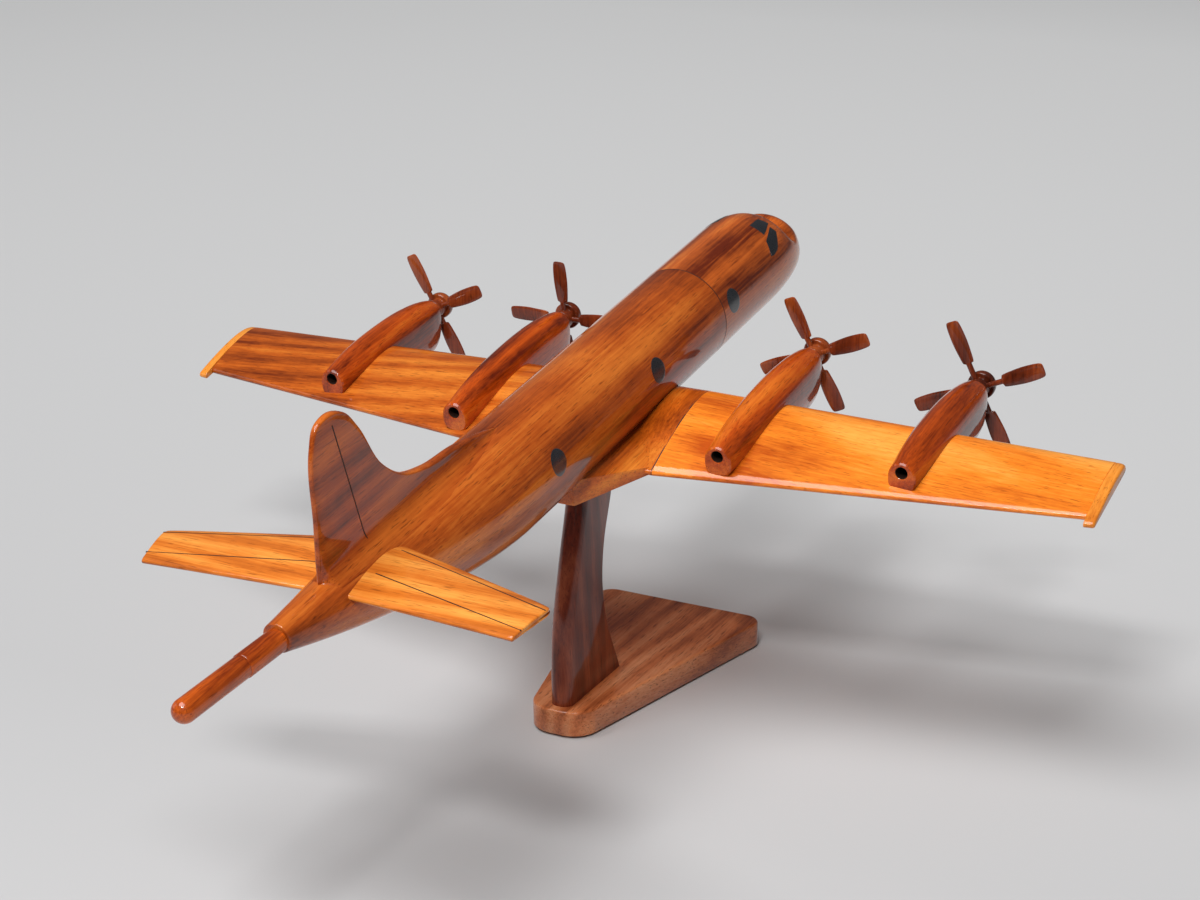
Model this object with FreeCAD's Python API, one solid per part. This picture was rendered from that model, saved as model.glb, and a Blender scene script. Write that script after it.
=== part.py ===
import FreeCAD, Part
import math
import os
from FreeCAD import Vector

# Carved desk model of a four-propeller patrol aeroplane on a wedge base.
# All sizes in millimetres.  The aeroplane is drawn level: X to port, Y aft of
# the nose tip, Z up from the body axis.  It is then tilted nose-up and set on
# the stand, whose base underside is the plane Z = 0 of the finished model.

# ---- Attitude on the stand -------------------------------------------------
nose_up_angle = 7.1          # degrees
seat_height = 116.0          # desk to the middle of the belly seat
seat_offset = 21.3           # seat aft of the middle of the base
seat_station = 193.0         # seat aft of the nose tip

# ---- Body ------------------------------------------------------------------
body_radius = 22.35
nose_length = 50.0
nose_tip_height = -10.0
nose_joint_station = 108.0   # glue line between nose block and body
taper_station = 278.0        # where the tail starts to narrow
tail_station = 422.2
tail_end_radius = 5.7
tail_end_height = 14.8

# ---- Wing ------------------------------------------------------------------
stub_half_span = 34.5        # centre plank out to the wing joint
wing_joint_to_cap = 172.0
cap_width = 4.4
root_nose = Vector(0, 149.0, -14.2)
root_tail = Vector(0, 209.8, -21.8)
tip_nose = Vector(0, 139.3, -22.1)
tip_tail = Vector(0, 177.8, -26.6)
root_thickness = 11.0
tip_thickness = 5.2
trailing_edge_thickness = 2.4
cap_overhang = 5.0           # cap runs on past the wing's trailing edge

# ---- Belly fairing and its notch in the body -------------------------------
belly_height = -23.4         # flat underside, from the body axis
notch_height = -18.5
fairing_front = 147.0
fairing_rear = 242.0
fairing_half_width = 16.0
fairing_nose_setback = 6.0   # narrow front edge behind the notch front
fairing_shoulder = 26.0      # full width starts this far ahead of the wing's tail
fairing_side_inset = 2.0     # side wall inboard of the wing joint
fairing_block_height = 13.0
fairing_slope_rise = 13.0    # outer faces lean in to the flat underside
fairing_slope_run = 22.0
fairing_edge_land = 1.4      # upright edge left below the slope

# ---- Engine nacelles -------------------------------------------------------
inner_nacelle_x = 61.4
outer_nacelle_x = 133.8
inner_rear_station = 203.4
outer_rear_station = 187.1
inner_exhaust_height = -11.6
outer_exhaust_height = -14.4
inner_nacelle_length = 96.0
outer_nacelle_length = 86.0
outer_nacelle_droop = 3.0    # degrees nose down
nacelle_half_width = 8.4
nacelle_rise = 8.8
nacelle_chin = 19.0
nacelle_foot = 9.6
exhaust_half_width = 5.8     # rear face: half width, and top above the propeller axis
exhaust_rise = 3.2
exhaust_bore_radius = 2.6
exhaust_bore_drop = 0.9      # below the propeller axis
exhaust_bore_depth = 12.0

# ---- Propellers ------------------------------------------------------------
blade_reach = 27.6
long_blade_reach = 31.0      # starboard outer propeller has longer shanks
blade_length = 19.6
blade_width = 6.6
blade_thickness = 1.5
blade_pitch = 5.0
shank_radius = 1.2
hub_radius = 4.4
hub_rear = 3.8               # behind the blade plane
hub_front = 1.8              # ahead of the blade plane
spinner_radius = 6.1
spinner_length = 6.0
spinner_round = 3.7
pin_pocket_depth = 1.25      # room for the pin's head, closed by the spinner
hub_gap = 0.35               # hub to nacelle nose
pin_radius = 0.8
pin_running_clearance = 0.05
pin_head_radius = 1.8
pin_head_height = 0.9
pin_grip = 14.0              # length driven into the nacelle
pin_head_clearance = 0.3
blade_phase = {"port_outer": -25.4, "port_inner": -1.2,
               "starboard_inner": -23.4, "starboard_outer": -24.1}

# ---- Fin and tailplane -----------------------------------------------------
fin_thickness = 4.6
fin_edge_round = 1.5
fin_ridge = ((262.0, 20.0), (280.0, 25.4), (300.0, 29.3), (322.0, 31.8), (338.0, 37.0),
             (350.0, 47.0), (362.0, 68.0), (368.0, 75.4), (377.0, 78.8), (385.6, 76.6),
             (388.8, 70.5))    # distance aft, height: fillet, leading edge, round top
fin_foot_rear = (395.2, 19.0)
fin_sunk_rear = (393.0, 9.1)
fin_sunk_front = (300.0, 9.1)
fin_score_line = ((377.0, 72.5), (366.0, 14.0))
fin_dowel_stations = (330.0, 375.0)
tailplane_height = 15.3
tailplane_nose = Vector(0, 352.0, 0)
tailplane_tail = Vector(0, 391.0, 0)
tailplane_tip_nose = Vector(0, 373.0, 0)
tailplane_tip_tail = Vector(0, 395.6, 0)
tailplane_half_span = 82.0
tailplane_tip_rake = 5.0
tailplane_root_thickness = 5.4
tailplane_tip_thickness = 3.2
tailplane_root_x = 5.0
tailplane_edge = 1.8
tailplane_scores = (((12.0, 359.6), (81.0, 377.6)),
                    ((12.0, 377.0), (79.0, 391.0)))    # X and distance aft, inner to outer
tailplane_dowel_stations = (366.0, 383.0)
tailplane_dowel_reach = (5.2, 22.0)
score_width = 0.5
score_depth = 0.4

# ---- Tail boom -------------------------------------------------------------
boom_radius = 4.6
boom_tip_radius = 4.4
boom_joint_station = 443.2
boom_end_station = 479.2
boom_root_height = 14.1
boom_rise = 0.072            # slope of the boom above the body axis
boom_dowel_radius = 1.8
boom_dowel_sink = 16.0
boom_dowel_tip_grip = 14.0
boom_lip_round = 0.7

# ---- Inlays ----------------------------------------------------------------
window_radius = 5.3
window_height = 6.0
window_stations = (97.7, 172.5, 260.0)
inlay_depth = 0.8

# ---- Dowels ----------------------------------------------------------------
dowel_radius = 2.5
wing_dowel_radius = 1.8
wing_dowel_grip = 9.0
wing_dowel_shares = (0.3, 0.62)    # of the root chord
fin_dowel_radius = 1.5
tailplane_dowel_radius = 1.2
dowel_length = 24.0

# ---- Stand -----------------------------------------------------------------
base_length = 123.5
base_front_half_width = 42.0
base_rear_half_width = 12.6
base_thickness = 12.0
base_front_corner = 7.0
base_rear_corner = 12.0
edge_round = 1.0
felt_thickness = 0.8
felt_inset = 2.0
column_thickness = 10.0
column_rear_round = 4.4
column_rear = ((57.8, 12.0), (56.8, 42.0), (49.2, 75.0), (42.4, 98.0), (36.4, 124.0))
column_front = ((7.8, 124.0), (16.6, 94.5), (23.6, 75.0), (25.4, 60.0), (23.2, 42.0),
                (11.0, 12.0))    # both edges: distance aft of the base middle, height
peg_radius = 2.5
peg_spacing = 13.0
peg_length = 26.0
peg_stand_out = 13.0         # above the seat, into the belly
peg_running_clearance = 0.05
peg_tip_clearance = 1.0
screw_radius = 2.0
screw_head_radius = 4.0
screw_head_height = 2.4
screw_length = 30.0
screw_spacing = 18.0
screw_station = 35.0

UP = Vector(0, 0, 1)
AFT = Vector(0, 1, 0)
PORT = Vector(1, 0, 0)
OVAL_POINTS = 24
FAR = 60.0                   # well clear of whatever is being trimmed


# ---- Drawing helpers -------------------------------------------------------
def closed_curve(points):
    """Smooth closed wire through a ring of points."""
    curve = Part.BSplineCurve()
    curve.interpolate(points, True)
    return Part.Wire(curve.toShape())


def oval(station, half_width, low, high):
    """Upright ellipse across the body axis."""
    middle, half_height = (low + high) / 2, (high - low) / 2
    turn = 2 * math.pi / OVAL_POINTS
    return closed_curve([Vector(half_width * math.cos(i * turn), station,
                                middle + half_height * math.sin(i * turn))
                         for i in range(OVAL_POINTS)])


def loft(wires, ruled=False):
    return Part.makeLoft(wires, True, ruled)


def prism(points, direction):
    """Solid swept from a flat polygon."""
    return Part.Face(Part.makePolygon(points + points[:1])).extrude(direction)


def rod(start, end, radius):
    return Part.makeCylinder(radius, (end - start).Length, start, end - start)


def mirrored(shape):
    """The same piece on the other side of the aeroplane."""
    return shape.mirror(Vector(0, 0, 0), PORT)


def slab(x_low, x_high, y_low, y_high, z_low, z_high):
    return Part.makeBox(x_high - x_low, y_high - y_low, z_high - z_low,
                        Vector(x_low, y_low, z_low))


# ---- Body ------------------------------------------------------------------
def body_limits(station, inset=0.0):
    """Half width, underside and top of the body at a distance aft of the nose."""
    if station < nose_length:
        left = 1 - station / nose_length
        half_width = body_radius * math.sqrt(1 - left ** 2.4)
        low = nose_tip_height - (body_radius + nose_tip_height) * math.sqrt(1 - left ** 1.75)
        high = nose_tip_height + (body_radius - nose_tip_height) * (1 - left ** 1.95) ** 0.62
    elif station <= taper_station:
        half_width, low, high = body_radius, -body_radius, body_radius
    else:
        share = (station - taper_station) / (tail_station - taper_station)
        end_low, end_high = tail_end_height - tail_end_radius, tail_end_height + tail_end_radius
        low = -body_radius + (body_radius + end_low) * share ** 1.55
        high = body_radius + (end_high - body_radius) * share
        half_width = (high - low) / 2
    return half_width - inset, low + inset, high - inset


def body_loft(stations, inset=0.0):
    return loft([oval(y, *body_limits(y, inset)) for y in stations])


def nose_block(first, inset=0.0):
    """Rounded nose from a first station back to the joint, optionally inset."""
    steps = 10
    rounded = body_loft([first + (nose_length - first) * (i / steps) ** 2
                         for i in range(steps + 1)], inset)
    return rounded.fuse(even_body(nose_length, nose_joint_station, inset))


def even_body(front, rear, inset=0.0):
    """Stretch of even section, swept from the same curve as the lofts it meets."""
    radius = body_radius - inset
    return Part.Face(oval(front, radius, -radius, radius)).extrude(AFT * (rear - front))


def round_body(front, rear, radius):
    return rod(AFT * front, AFT * rear, radius)


def tail_cone():
    steps = 8
    return body_loft([taper_station + (tail_station - taper_station) * i / steps
                      for i in range(steps + 1)])


def pane_outlines():
    """Cutting prisms of the port cockpit panes: side, brow and front."""
    side = [(38.0, 12.0), (38.8, 16.4), (49.6, 15.4), (54.0, 9.4), (46.0, 9.4)]
    brow = [(38.6, 8.0), (48.8, 8.3), (48.4, 13.4), (38.2, 11.8)]
    front = [(0.9, 12.4), (0.9, 18.9), (9.6, 16.9), (14.0, 11.8)]
    yield prism([Vector(10, y, z) for y, z in side], PORT * 20)
    yield prism([Vector(x, y, 10) for y, x in brow], UP * 20)
    yield prism([Vector(x, 18, z) for x, z in front], AFT * 20)


def window_prism(station):
    return Part.makeCylinder(window_radius, 20, Vector(10, station, window_height), PORT)


def make_body():
    """Nose block, body, cabin windows and cockpit panes."""
    nose = nose_block(0.1)
    nose_core = nose_block(4.0, inlay_depth)
    nose_skin = nose.cut(nose_core)
    straight = even_body(nose_joint_station, taper_station)
    body = straight.fuse(tail_cone())
    skin = straight.cut(round_body(0, tail_station, body_radius - inlay_depth))
    panes, pockets = [], []
    for cutter in pane_outlines():
        pane, pocket = nose_skin.common(cutter), cutter.cut(nose_core)
        panes += [pane, mirrored(pane)]
        pockets += [pocket, mirrored(pocket)]
    windows = []
    for station in window_stations:
        source = nose_skin if station < nose_joint_station else skin
        windows.append(source.common(window_prism(station)))
    for pocket in pockets:
        nose = nose.cut(pocket)
    for window in windows + [mirrored(w) for w in windows]:
        nose = nose.cut(window)
        body = body.cut(window)
    body = body.cut(body_notch())
    dowel = rod(AFT * (nose_joint_station - dowel_length / 2),
                AFT * (nose_joint_station + dowel_length / 2), dowel_radius)
    return {"fuselage_nose": nose.cut(dowel), "fuselage_main": body.cut(dowel),
            "nose_dowel": dowel, "cockpit_panes": Part.makeCompound(panes),
            "cabin_windows_port": Part.makeCompound(windows),
            "cabin_windows_starboard": Part.makeCompound([mirrored(w) for w in windows])}


# ---- Wing ------------------------------------------------------------------
def foil_half_thickness(share):
    """Rounded nose, fullest at a third of the chord, closing at the tail; peak 1."""
    return 10 * (0.2969 * math.sqrt(share) - 0.1260 * share - 0.3516 * share ** 2
                 + 0.2843 * share ** 3 - 0.1036 * share ** 4)


def foil(x, nose, tail, thickness, edge):
    """Wing section: full top, nearly flat underside, rounded blunt tail."""
    chord = (tail - nose).Length
    along = (tail - nose) * (1 / chord)
    across = Vector(0, -along.z, along.y)
    base = Vector(x, nose.y, nose.z)

    def point(share, height):
        return base + along * (share * chord) + across * height

    blunt = edge / 2
    last = 1 - blunt / chord
    top = [point(last, blunt)]
    for share in (0.75, 0.5, 0.3, 0.15, 0.06, 0.018):
        top.append(point(share, 0.62 * thickness * foil_half_thickness(share) + blunt * share))
    top.append(point(0, 0))
    for share in (0.02, 0.07):
        top.append(point(share, -0.38 * thickness * foil_half_thickness(share)))
    curve = Part.BSplineCurve()
    curve.interpolate(top)
    under = Part.LineSegment(top[-1], point(last, -blunt)).toShape()
    end = Part.Arc(point(last, -blunt), point(1, 0), point(last, blunt)).toShape()
    return Part.Wire([curve.toShape(), under, end])


def wing_section(x):
    """Section of the port wing at a distance from the body axis."""
    share = (x - stub_half_span) / (wing_joint_to_cap + cap_width)
    nose = root_nose + (tip_nose - root_nose) * share
    tail = root_tail + (tip_tail - root_tail) * share
    thickness = root_thickness + (tip_thickness - root_thickness) * share
    return nose, tail, thickness


def wing_piece(x_low, x_high, overhang=0.0):
    wires = []
    for x in (x_low, x_high):
        nose, tail, thickness = wing_section(x)
        along = (tail - nose).normalize()
        wires.append(foil(x, nose, tail + along * overhang, thickness, trailing_edge_thickness))
    return loft(wires, True)


def fairing_block():
    """Flat-bottomed belly block with leaning sides and a sloped front."""
    side = stub_half_span - fairing_side_inset
    outline = [Vector(fairing_half_width, fairing_front + fairing_nose_setback, belly_height),
               Vector(side, root_tail.y - fairing_shoulder, belly_height),
               Vector(side, root_tail.y - trailing_edge_thickness, belly_height),
               Vector(fairing_half_width, fairing_rear, belly_height)]
    outline += [Vector(-v.x, v.y, v.z) for v in reversed(outline)]
    block = prism(outline, UP * fairing_block_height)
    beyond = stub_half_span + fairing_side_inset
    lean = [Vector(beyond, 0, belly_height + fairing_edge_land), Vector(beyond, 0, FAR),
            Vector(0, 0, FAR),
            Vector(stub_half_span - fairing_slope_run, 0, belly_height + fairing_slope_rise)]
    shave = prism([v + AFT * fairing_front for v in lean], AFT * FAR * 2)
    front = [Vector(-FAR, fairing_front - 2, -FAR), Vector(-FAR, fairing_front - 2, FAR),
             Vector(-FAR, root_nose.y + 3, FAR), Vector(-FAR, root_nose.y + 3, root_nose.z - 2),
             Vector(-FAR, root_nose.y + 12, -FAR)]
    return block.cut(shave).cut(mirrored(shave)).cut(prism(front, PORT * FAR * 2))


def body_notch():
    """Room cut across the underside of the body for the wing plank."""
    return slab(-FAR, FAR, fairing_front, fairing_rear, -FAR, notch_height)


def make_wing_centre():
    """Plank under the body with a belly fairing that hugs its sides."""
    plank = loft([foil(x, root_nose, root_tail, root_thickness, trailing_edge_thickness)
                  for x in (-stub_half_span, stub_half_span)], True)
    joined = plank.fuse(fairing_block()).removeSplitter()
    body = round_body(fairing_front - FAR, fairing_rear + FAR, body_radius)
    ahead = slab(-FAR, FAR, 0, fairing_front, notch_height, FAR)
    return joined.cut(body).cut(ahead).fuse(joined.common(body_notch())).removeSplitter()


def wing_dowel_rods():
    rods = []
    for share in wing_dowel_shares:
        middle = root_nose + (root_tail - root_nose) * share + UP * 0.8
        rods.append(rod(middle + PORT * (stub_half_span - wing_dowel_grip),
                        middle + PORT * (stub_half_span + wing_dowel_grip), wing_dowel_radius))
    return rods


def make_wings():
    joint = stub_half_span + wing_joint_to_cap
    port = wing_piece(stub_half_span, joint)
    cap = wing_piece(joint, joint + cap_width, cap_overhang)
    centre = make_wing_centre()
    rods = wing_dowel_rods()
    for dowel in rods:
        port = port.cut(dowel)
        centre = centre.cut(dowel).cut(mirrored(dowel))
    return {"wing_centre": centre, "wing_port": port, "wing_starboard": mirrored(port),
            "wing_tip_port": cap, "wing_tip_starboard": mirrored(cap),
            "wing_dowels": Part.makeCompound(rods + [mirrored(r) for r in rods])}


# ---- Nacelles --------------------------------------------------------------
def nacelle_ring(forward, half_width, rise, drop, flatness):
    """Nacelle section: half-round top and a squarer lower half."""
    points = []
    turn = 2 * math.pi / OVAL_POINTS
    for i in range(OVAL_POINTS):
        c, s = math.cos(i * turn), math.sin(i * turn)
        if s >= 0:
            points.append(Vector(half_width * c, -forward, rise * s))
        else:
            power = 2 / flatness
            points.append(Vector(half_width * math.copysign(abs(c) ** power, c), -forward,
                                 -drop * abs(s) ** power))
    return closed_curve(points)


def nacelle_blank(length):
    """Nacelle before it is notched over the wing; exhaust face at the origin."""
    rings = [nacelle_ring(0, exhaust_half_width, exhaust_rise, nacelle_foot, 3.2),
             nacelle_ring(0.2 * length, nacelle_half_width - 1, nacelle_rise - 2.2,
                          nacelle_foot + 0.6, 3.0),
             nacelle_ring(0.5 * length, nacelle_half_width, nacelle_rise, nacelle_foot + 5, 2.6),
             nacelle_ring(0.75 * length, nacelle_half_width - 0.2, nacelle_rise,
                          nacelle_chin, 2.3),
             nacelle_ring(0.93 * length, nacelle_half_width - 1.4, nacelle_rise - 1.9,
                          nacelle_chin, 2.3),
             nacelle_ring(length, hub_radius + 1, hub_radius + 0.9, nacelle_chin - 4.5, 2.2)]
    return loft(rings)


def nacelle_sites():
    """Name, X, exhaust point, length and droop of each nacelle."""
    for side, sign in (("port", 1), ("starboard", -1)):
        yield (side + "_outer", Vector(sign * outer_nacelle_x, outer_rear_station,
                                       outer_exhaust_height), outer_nacelle_length,
               outer_nacelle_droop)
        yield (side + "_inner", Vector(sign * inner_nacelle_x, inner_rear_station,
                                       inner_exhaust_height), inner_nacelle_length, 0.0)


def set_on_nacelle(shape, site, droop):
    """Droop a shape about the exhaust point and move it there."""
    placed = shape.copy()
    placed.rotate(Vector(0, 0, 0), PORT, droop)
    placed.translate(site)
    return placed


# ---- Propellers ------------------------------------------------------------
def blade_outline():
    """Half widths of a paddle blade along its length: share of length, share of width."""
    return ((0.0, 0.62), (0.08, 0.72), (0.3, 0.92), (0.62, 1.0), (0.86, 0.86), (0.97, 0.66),
            (1.0, 0.5))


def make_blade(reach):
    """Blade standing up from the hub, with its round shank."""
    root = reach - blade_length
    wires = []
    for share, width in blade_outline():
        half = blade_width / 2 * width
        thin = blade_thickness / 2 * (1 - 0.45 * share)
        turn = 2 * math.pi / 12
        wires.append(closed_curve([Vector(half * math.cos(i * turn), thin * math.sin(i * turn),
                                          root + share * blade_length) for i in range(12)]))
    paddle = loft(wires, True)
    paddle.rotate(Vector(0, 0, 0), UP, -blade_pitch)
    shank = Part.makeCylinder(shank_radius, root + 1.5 - hub_radius + 1.5,
                              UP * (hub_radius - 1.5))
    return paddle.fuse(shank).removeSplitter()


def make_propeller(reach, phase, nacelle_length):
    """Hub, spinner, four blades and the pin they turn on, in nacelle axes."""
    plane = -(nacelle_length + hub_gap + hub_rear)
    axis_rear = AFT * (plane + hub_rear)
    axis_front = AFT * (plane - hub_front)
    hub = rod(axis_rear, axis_front, hub_radius)
    blades = []
    for quarter in range(4):
        blade = make_blade(reach)
        blade.translate(AFT * plane)
        blade.rotate(Vector(0, 0, 0), AFT, -(phase + 90 * quarter))
        blades.append(blade)
        hub = hub.cut(blade)
    bore_radius = pin_radius + pin_running_clearance
    hub = hub.cut(rod(axis_rear + AFT, axis_front - AFT, bore_radius))
    pocket = rod(axis_front + AFT * pin_pocket_depth, axis_front - AFT,
                 pin_head_radius + pin_head_clearance)
    hub = hub.cut(pocket)
    spinner = rod(axis_front, axis_front - AFT * spinner_length, spinner_radius)
    front_edge = [e for e in spinner.Edges
                  if e.Closed and e.CenterOfMass.y < plane - hub_front - 1]
    spinner = spinner.makeFillet(spinner_round, front_edge)
    head_rear = axis_front + AFT * (pin_pocket_depth - 0.1)
    pin = rod(AFT * (-nacelle_length + pin_grip), head_rear, pin_radius)
    pin = pin.fuse(rod(head_rear, head_rear - AFT * pin_head_height, pin_head_radius))
    return {"hub": hub, "spinner": spinner, "blades": Part.makeCompound(blades),
            "pin": pin.removeSplitter()}


def make_engines(wings):
    """Four notched nacelles, each with its propeller."""
    pieces = {}
    for name, site, length, droop in nacelle_sites():
        wing = wings["wing_port"] if site.x > 0 else wings["wing_starboard"]
        lowered = UP * -exhaust_bore_drop
        bore = rod(lowered + AFT, lowered - AFT * exhaust_bore_depth, exhaust_bore_radius)
        reach = long_blade_reach if name == "starboard_outer" else blade_reach
        propeller = make_propeller(reach, blade_phase[name], length)
        blank = nacelle_blank(length).cut(bore).cut(propeller["pin"])
        pieces["nacelle_" + name] = set_on_nacelle(blank, site, droop).cut(wing)
        for part, shape in propeller.items():
            pieces["propeller_%s_%s" % (name, part)] = set_on_nacelle(shape, site, droop)
    return pieces


# ---- Tail ------------------------------------------------------------------
def side_points(pairs):
    """Points on the symmetry plane from (distance aft, height) pairs."""
    return [Vector(0, y, z) for y, z in pairs]


def spline_edge(points):
    curve = Part.BSplineCurve()
    curve.interpolate(points)
    return curve.toShape()


def fin_outline():
    """Side outline of the fin and its long dorsal fillet."""
    ridge = side_points(fin_ridge)
    corners = [ridge[-1]] + side_points((fin_foot_rear, fin_sunk_rear, fin_sunk_front)) + [ridge[0]]
    return Part.Wire([spline_edge(ridge)] + [Part.LineSegment(near, far).toShape()
                                             for near, far in zip(corners, corners[1:])])


def score(start, end, half_thickness):
    """Narrow square groove in both faces of a thin plate lying across X."""
    run = end - start
    lift = Vector(0, -run.z, run.y).normalize() * (score_width / 2)
    outline = [start + lift, end + lift, end - lift, start - lift]
    groove = prism([p + PORT * (half_thickness - score_depth) for p in outline], PORT * 4)
    return groove.fuse(mirrored(groove))


def make_fin(body):
    plate = Part.Face(fin_outline()).extrude(PORT * fin_thickness)
    plate.translate(-PORT * fin_thickness / 2)
    above = [e for e in plate.Edges if e.BoundBox.XLength < 0.01
             and e.BoundBox.ZMax > tail_end_height + 8 and e.Length > 30]
    plate = plate.makeFillet(fin_edge_round, above)
    fin = plate.cut(score(*side_points(fin_score_line), fin_thickness / 2)).cut(body)
    dowels = [rod(Vector(0, y, 4), Vector(0, y, 32), fin_dowel_radius)
              for y in fin_dowel_stations]
    for dowel in dowels:
        fin = fin.cut(dowel)
    return fin, dowels


def make_tailplane(body):
    """Port tailplane with two scored hinge lines."""
    def section(x, nose, tail, thickness):
        lift = UP * tailplane_height
        return foil(x, nose + lift, tail + lift, thickness, tailplane_edge)

    tip_x = tailplane_half_span
    front, rear = tailplane_tip_nose.y - 4, tailplane_tip_tail.y + 6
    plane = loft([section(tailplane_root_x, tailplane_nose, tailplane_tail,
                          tailplane_root_thickness),
                  section(tip_x, tailplane_tip_nose, tailplane_tip_tail,
                          tailplane_tip_thickness)], True)
    rake = [Vector(tip_x + 0.1, front, 0), Vector(tip_x + 9, front, 0),
            Vector(tip_x + 9, rear, 0), Vector(tip_x - tailplane_tip_rake - 1, rear, 0)]
    plane = plane.cut(prism(rake, UP * FAR))
    for near, far in tailplane_scores:
        start, end = Vector(near[0], near[1], 0), Vector(far[0], far[1], 0)
        run = end - start
        side = Vector(-run.y, run.x, 0).normalize() * (score_width / 2)
        outline = [start + side, end + side, end - side, start - side]
        band = prism([v + UP * tailplane_height for v in outline], UP * 8)
        inner = plane.copy()
        inner.translate(UP * -score_depth)
        plane = plane.cut(band.common(plane.cut(inner)))
    inner_x, outer_x = tailplane_dowel_reach
    dowels = [rod(Vector(inner_x, y, tailplane_height + 0.3),
                  Vector(outer_x, y, tailplane_height + 0.3), tailplane_dowel_radius)
              for y in tailplane_dowel_stations]
    plane = plane.cut(body)
    for dowel in dowels:
        plane = plane.cut(dowel)
    return plane, dowels


def make_boom():
    """Two turned boom pieces on one through dowel."""
    run = Vector(0, 1, boom_rise).normalize()

    def at(station):
        return Vector(0, station, boom_root_height + boom_rise * (station - tail_station))

    root = rod(at(tail_station), at(boom_joint_station), boom_radius)
    root = root.cut(slab(-20, 20, 0, tail_station, -60, 60))
    lip = [e for e in root.Edges if e.Closed and e.CenterOfMass.y > boom_joint_station - 2]
    root = root.makeFillet(boom_lip_round, lip[:1])
    end = at(boom_end_station)
    straight = end - run * boom_tip_radius
    tip = rod(at(boom_joint_station), straight, boom_tip_radius)
    tip = tip.fuse(Part.makeSphere(boom_tip_radius, straight)).removeSplitter()
    dowel = rod(at(tail_station) - run * boom_dowel_sink,
                at(boom_joint_station) + run * boom_dowel_tip_grip, boom_dowel_radius)
    return root.cut(dowel), tip.cut(dowel), dowel


def make_tail(body):
    fin, fin_dowels = make_fin(body)
    plane, plane_dowels = make_tailplane(body)
    root, tip, boom_dowel = make_boom()
    plane_dowels += [mirrored(d) for d in plane_dowels]
    for dowel in fin_dowels + plane_dowels + [boom_dowel]:
        body = body.cut(dowel)
    return {"fin": fin, "fin_dowels": Part.makeCompound(fin_dowels),
            "tailplane_port": plane, "tailplane_starboard": mirrored(plane),
            "tailplane_dowels": Part.makeCompound(plane_dowels),
            "tail_boom_root": root, "tail_boom_tip": tip, "boom_dowel": boom_dowel,
            "fuselage_main": body}


# ---- Pegs between belly and stand ------------------------------------------
def seat_pegs(clearance, tip_gap):
    """Two upright pegs through the seat plane, in aeroplane axes."""
    pegs = []
    for way in (-1, 1):
        foot = Vector(0, seat_station + way * peg_spacing / 2, belly_height)
        pegs.append(rod(foot - UP * (peg_length - peg_stand_out),
                        foot + UP * (peg_stand_out + tip_gap), peg_radius + clearance))
    return pegs


def on_stand(shape):
    """Tilt a shape from aeroplane axes and set the belly seat on the column."""
    placed = shape.copy()
    placed.translate(Vector(0, -seat_station, -belly_height))
    placed.rotate(Vector(0, 0, 0), PORT, -nose_up_angle)
    placed.translate(Vector(0, seat_offset, seat_height))
    return placed


# ---- Stand -----------------------------------------------------------------
def base_blank(inset, low, high):
    front, rear = -base_length / 2 + inset, base_length / 2 - inset
    wide, narrow = base_front_half_width - inset, base_rear_half_width - inset
    outline = [Vector(wide, front, low), Vector(narrow, rear, low),
               Vector(-narrow, rear, low), Vector(-wide, front, low)]
    block = prism(outline, UP * (high - low))
    for at_rear, radius in ((False, base_front_corner), (True, base_rear_corner)):
        corners = [e for e in block.Edges if e.BoundBox.ZLength > high - low - 0.01
                   and (e.BoundBox.YMin > 0) == at_rear and e.BoundBox.YLength < 0.01]
        block = block.makeFillet(radius - inset / 2, corners)
    return block


def column_blank():
    """Leaning curved column, its top cut to the tilt of the belly."""
    rear, front = side_points(column_rear), side_points(column_front)
    outline = Part.Wire([spline_edge(rear), Part.LineSegment(rear[-1], front[0]).toShape(),
                         spline_edge(front), Part.LineSegment(front[-1], rear[0]).toShape()])
    block = Part.Face(outline).extrude(PORT * column_thickness)
    block.translate(-PORT * column_thickness / 2)
    split = (rear[2].y + front[2].y) / 2
    for at_rear, radius in ((True, column_rear_round), (False, edge_round)):
        block = block.makeFillet(radius, [e for e in block.Edges if e.BoundBox.XLength < 0.01
                                          and e.BoundBox.ZLength > 40
                                          and (e.CenterOfMass.y > split) == at_rear])
    return block


def make_stand():
    base = base_blank(0, felt_thickness, base_thickness)
    rims = [e for e in base.Edges if e.BoundBox.ZMin > base_thickness - 0.01]
    base = base.makeFillet(edge_round, rims)
    felt = base_blank(felt_inset, 0, felt_thickness)
    column = column_blank()
    above = slab(-FAR, FAR, seat_station - FAR, seat_station + FAR, belly_height, FAR)
    column = column.cut(on_stand(above))
    screws = []
    for way in (-1, 1):
        y = screw_station + way * screw_spacing / 2
        cone = Part.makeCone(screw_head_radius, screw_radius, screw_head_height,
                             Vector(0, y, felt_thickness), UP)
        shank = Part.makeCylinder(screw_radius, screw_length, Vector(0, y, felt_thickness), UP)
        screws.append(cone.fuse(shank).removeSplitter())
    for screw in screws:
        base = base.cut(screw)
        column = column.cut(screw)
    pegs = [on_stand(p) for p in seat_pegs(0, 0)]
    for peg in pegs:
        column = column.cut(peg)
    return {"base_plate": base, "base_felt": felt, "stand_column": column,
            "column_screws": Part.makeCompound(screws), "stand_pegs": Part.makeCompound(pegs)}


# ---- Assembly --------------------------------------------------------------
def make_aeroplane():
    pieces = make_body()
    pieces.update(make_wings())
    pieces.update(make_engines(pieces))
    pieces.update(make_tail(pieces["fuselage_main"]))
    for hole in seat_pegs(peg_running_clearance, peg_tip_clearance):
        for node in ("wing_centre", "fuselage_main"):
            pieces[node] = pieces[node].cut(hole)
    return {node: on_stand(shape) for node, shape in pieces.items()}


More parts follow.
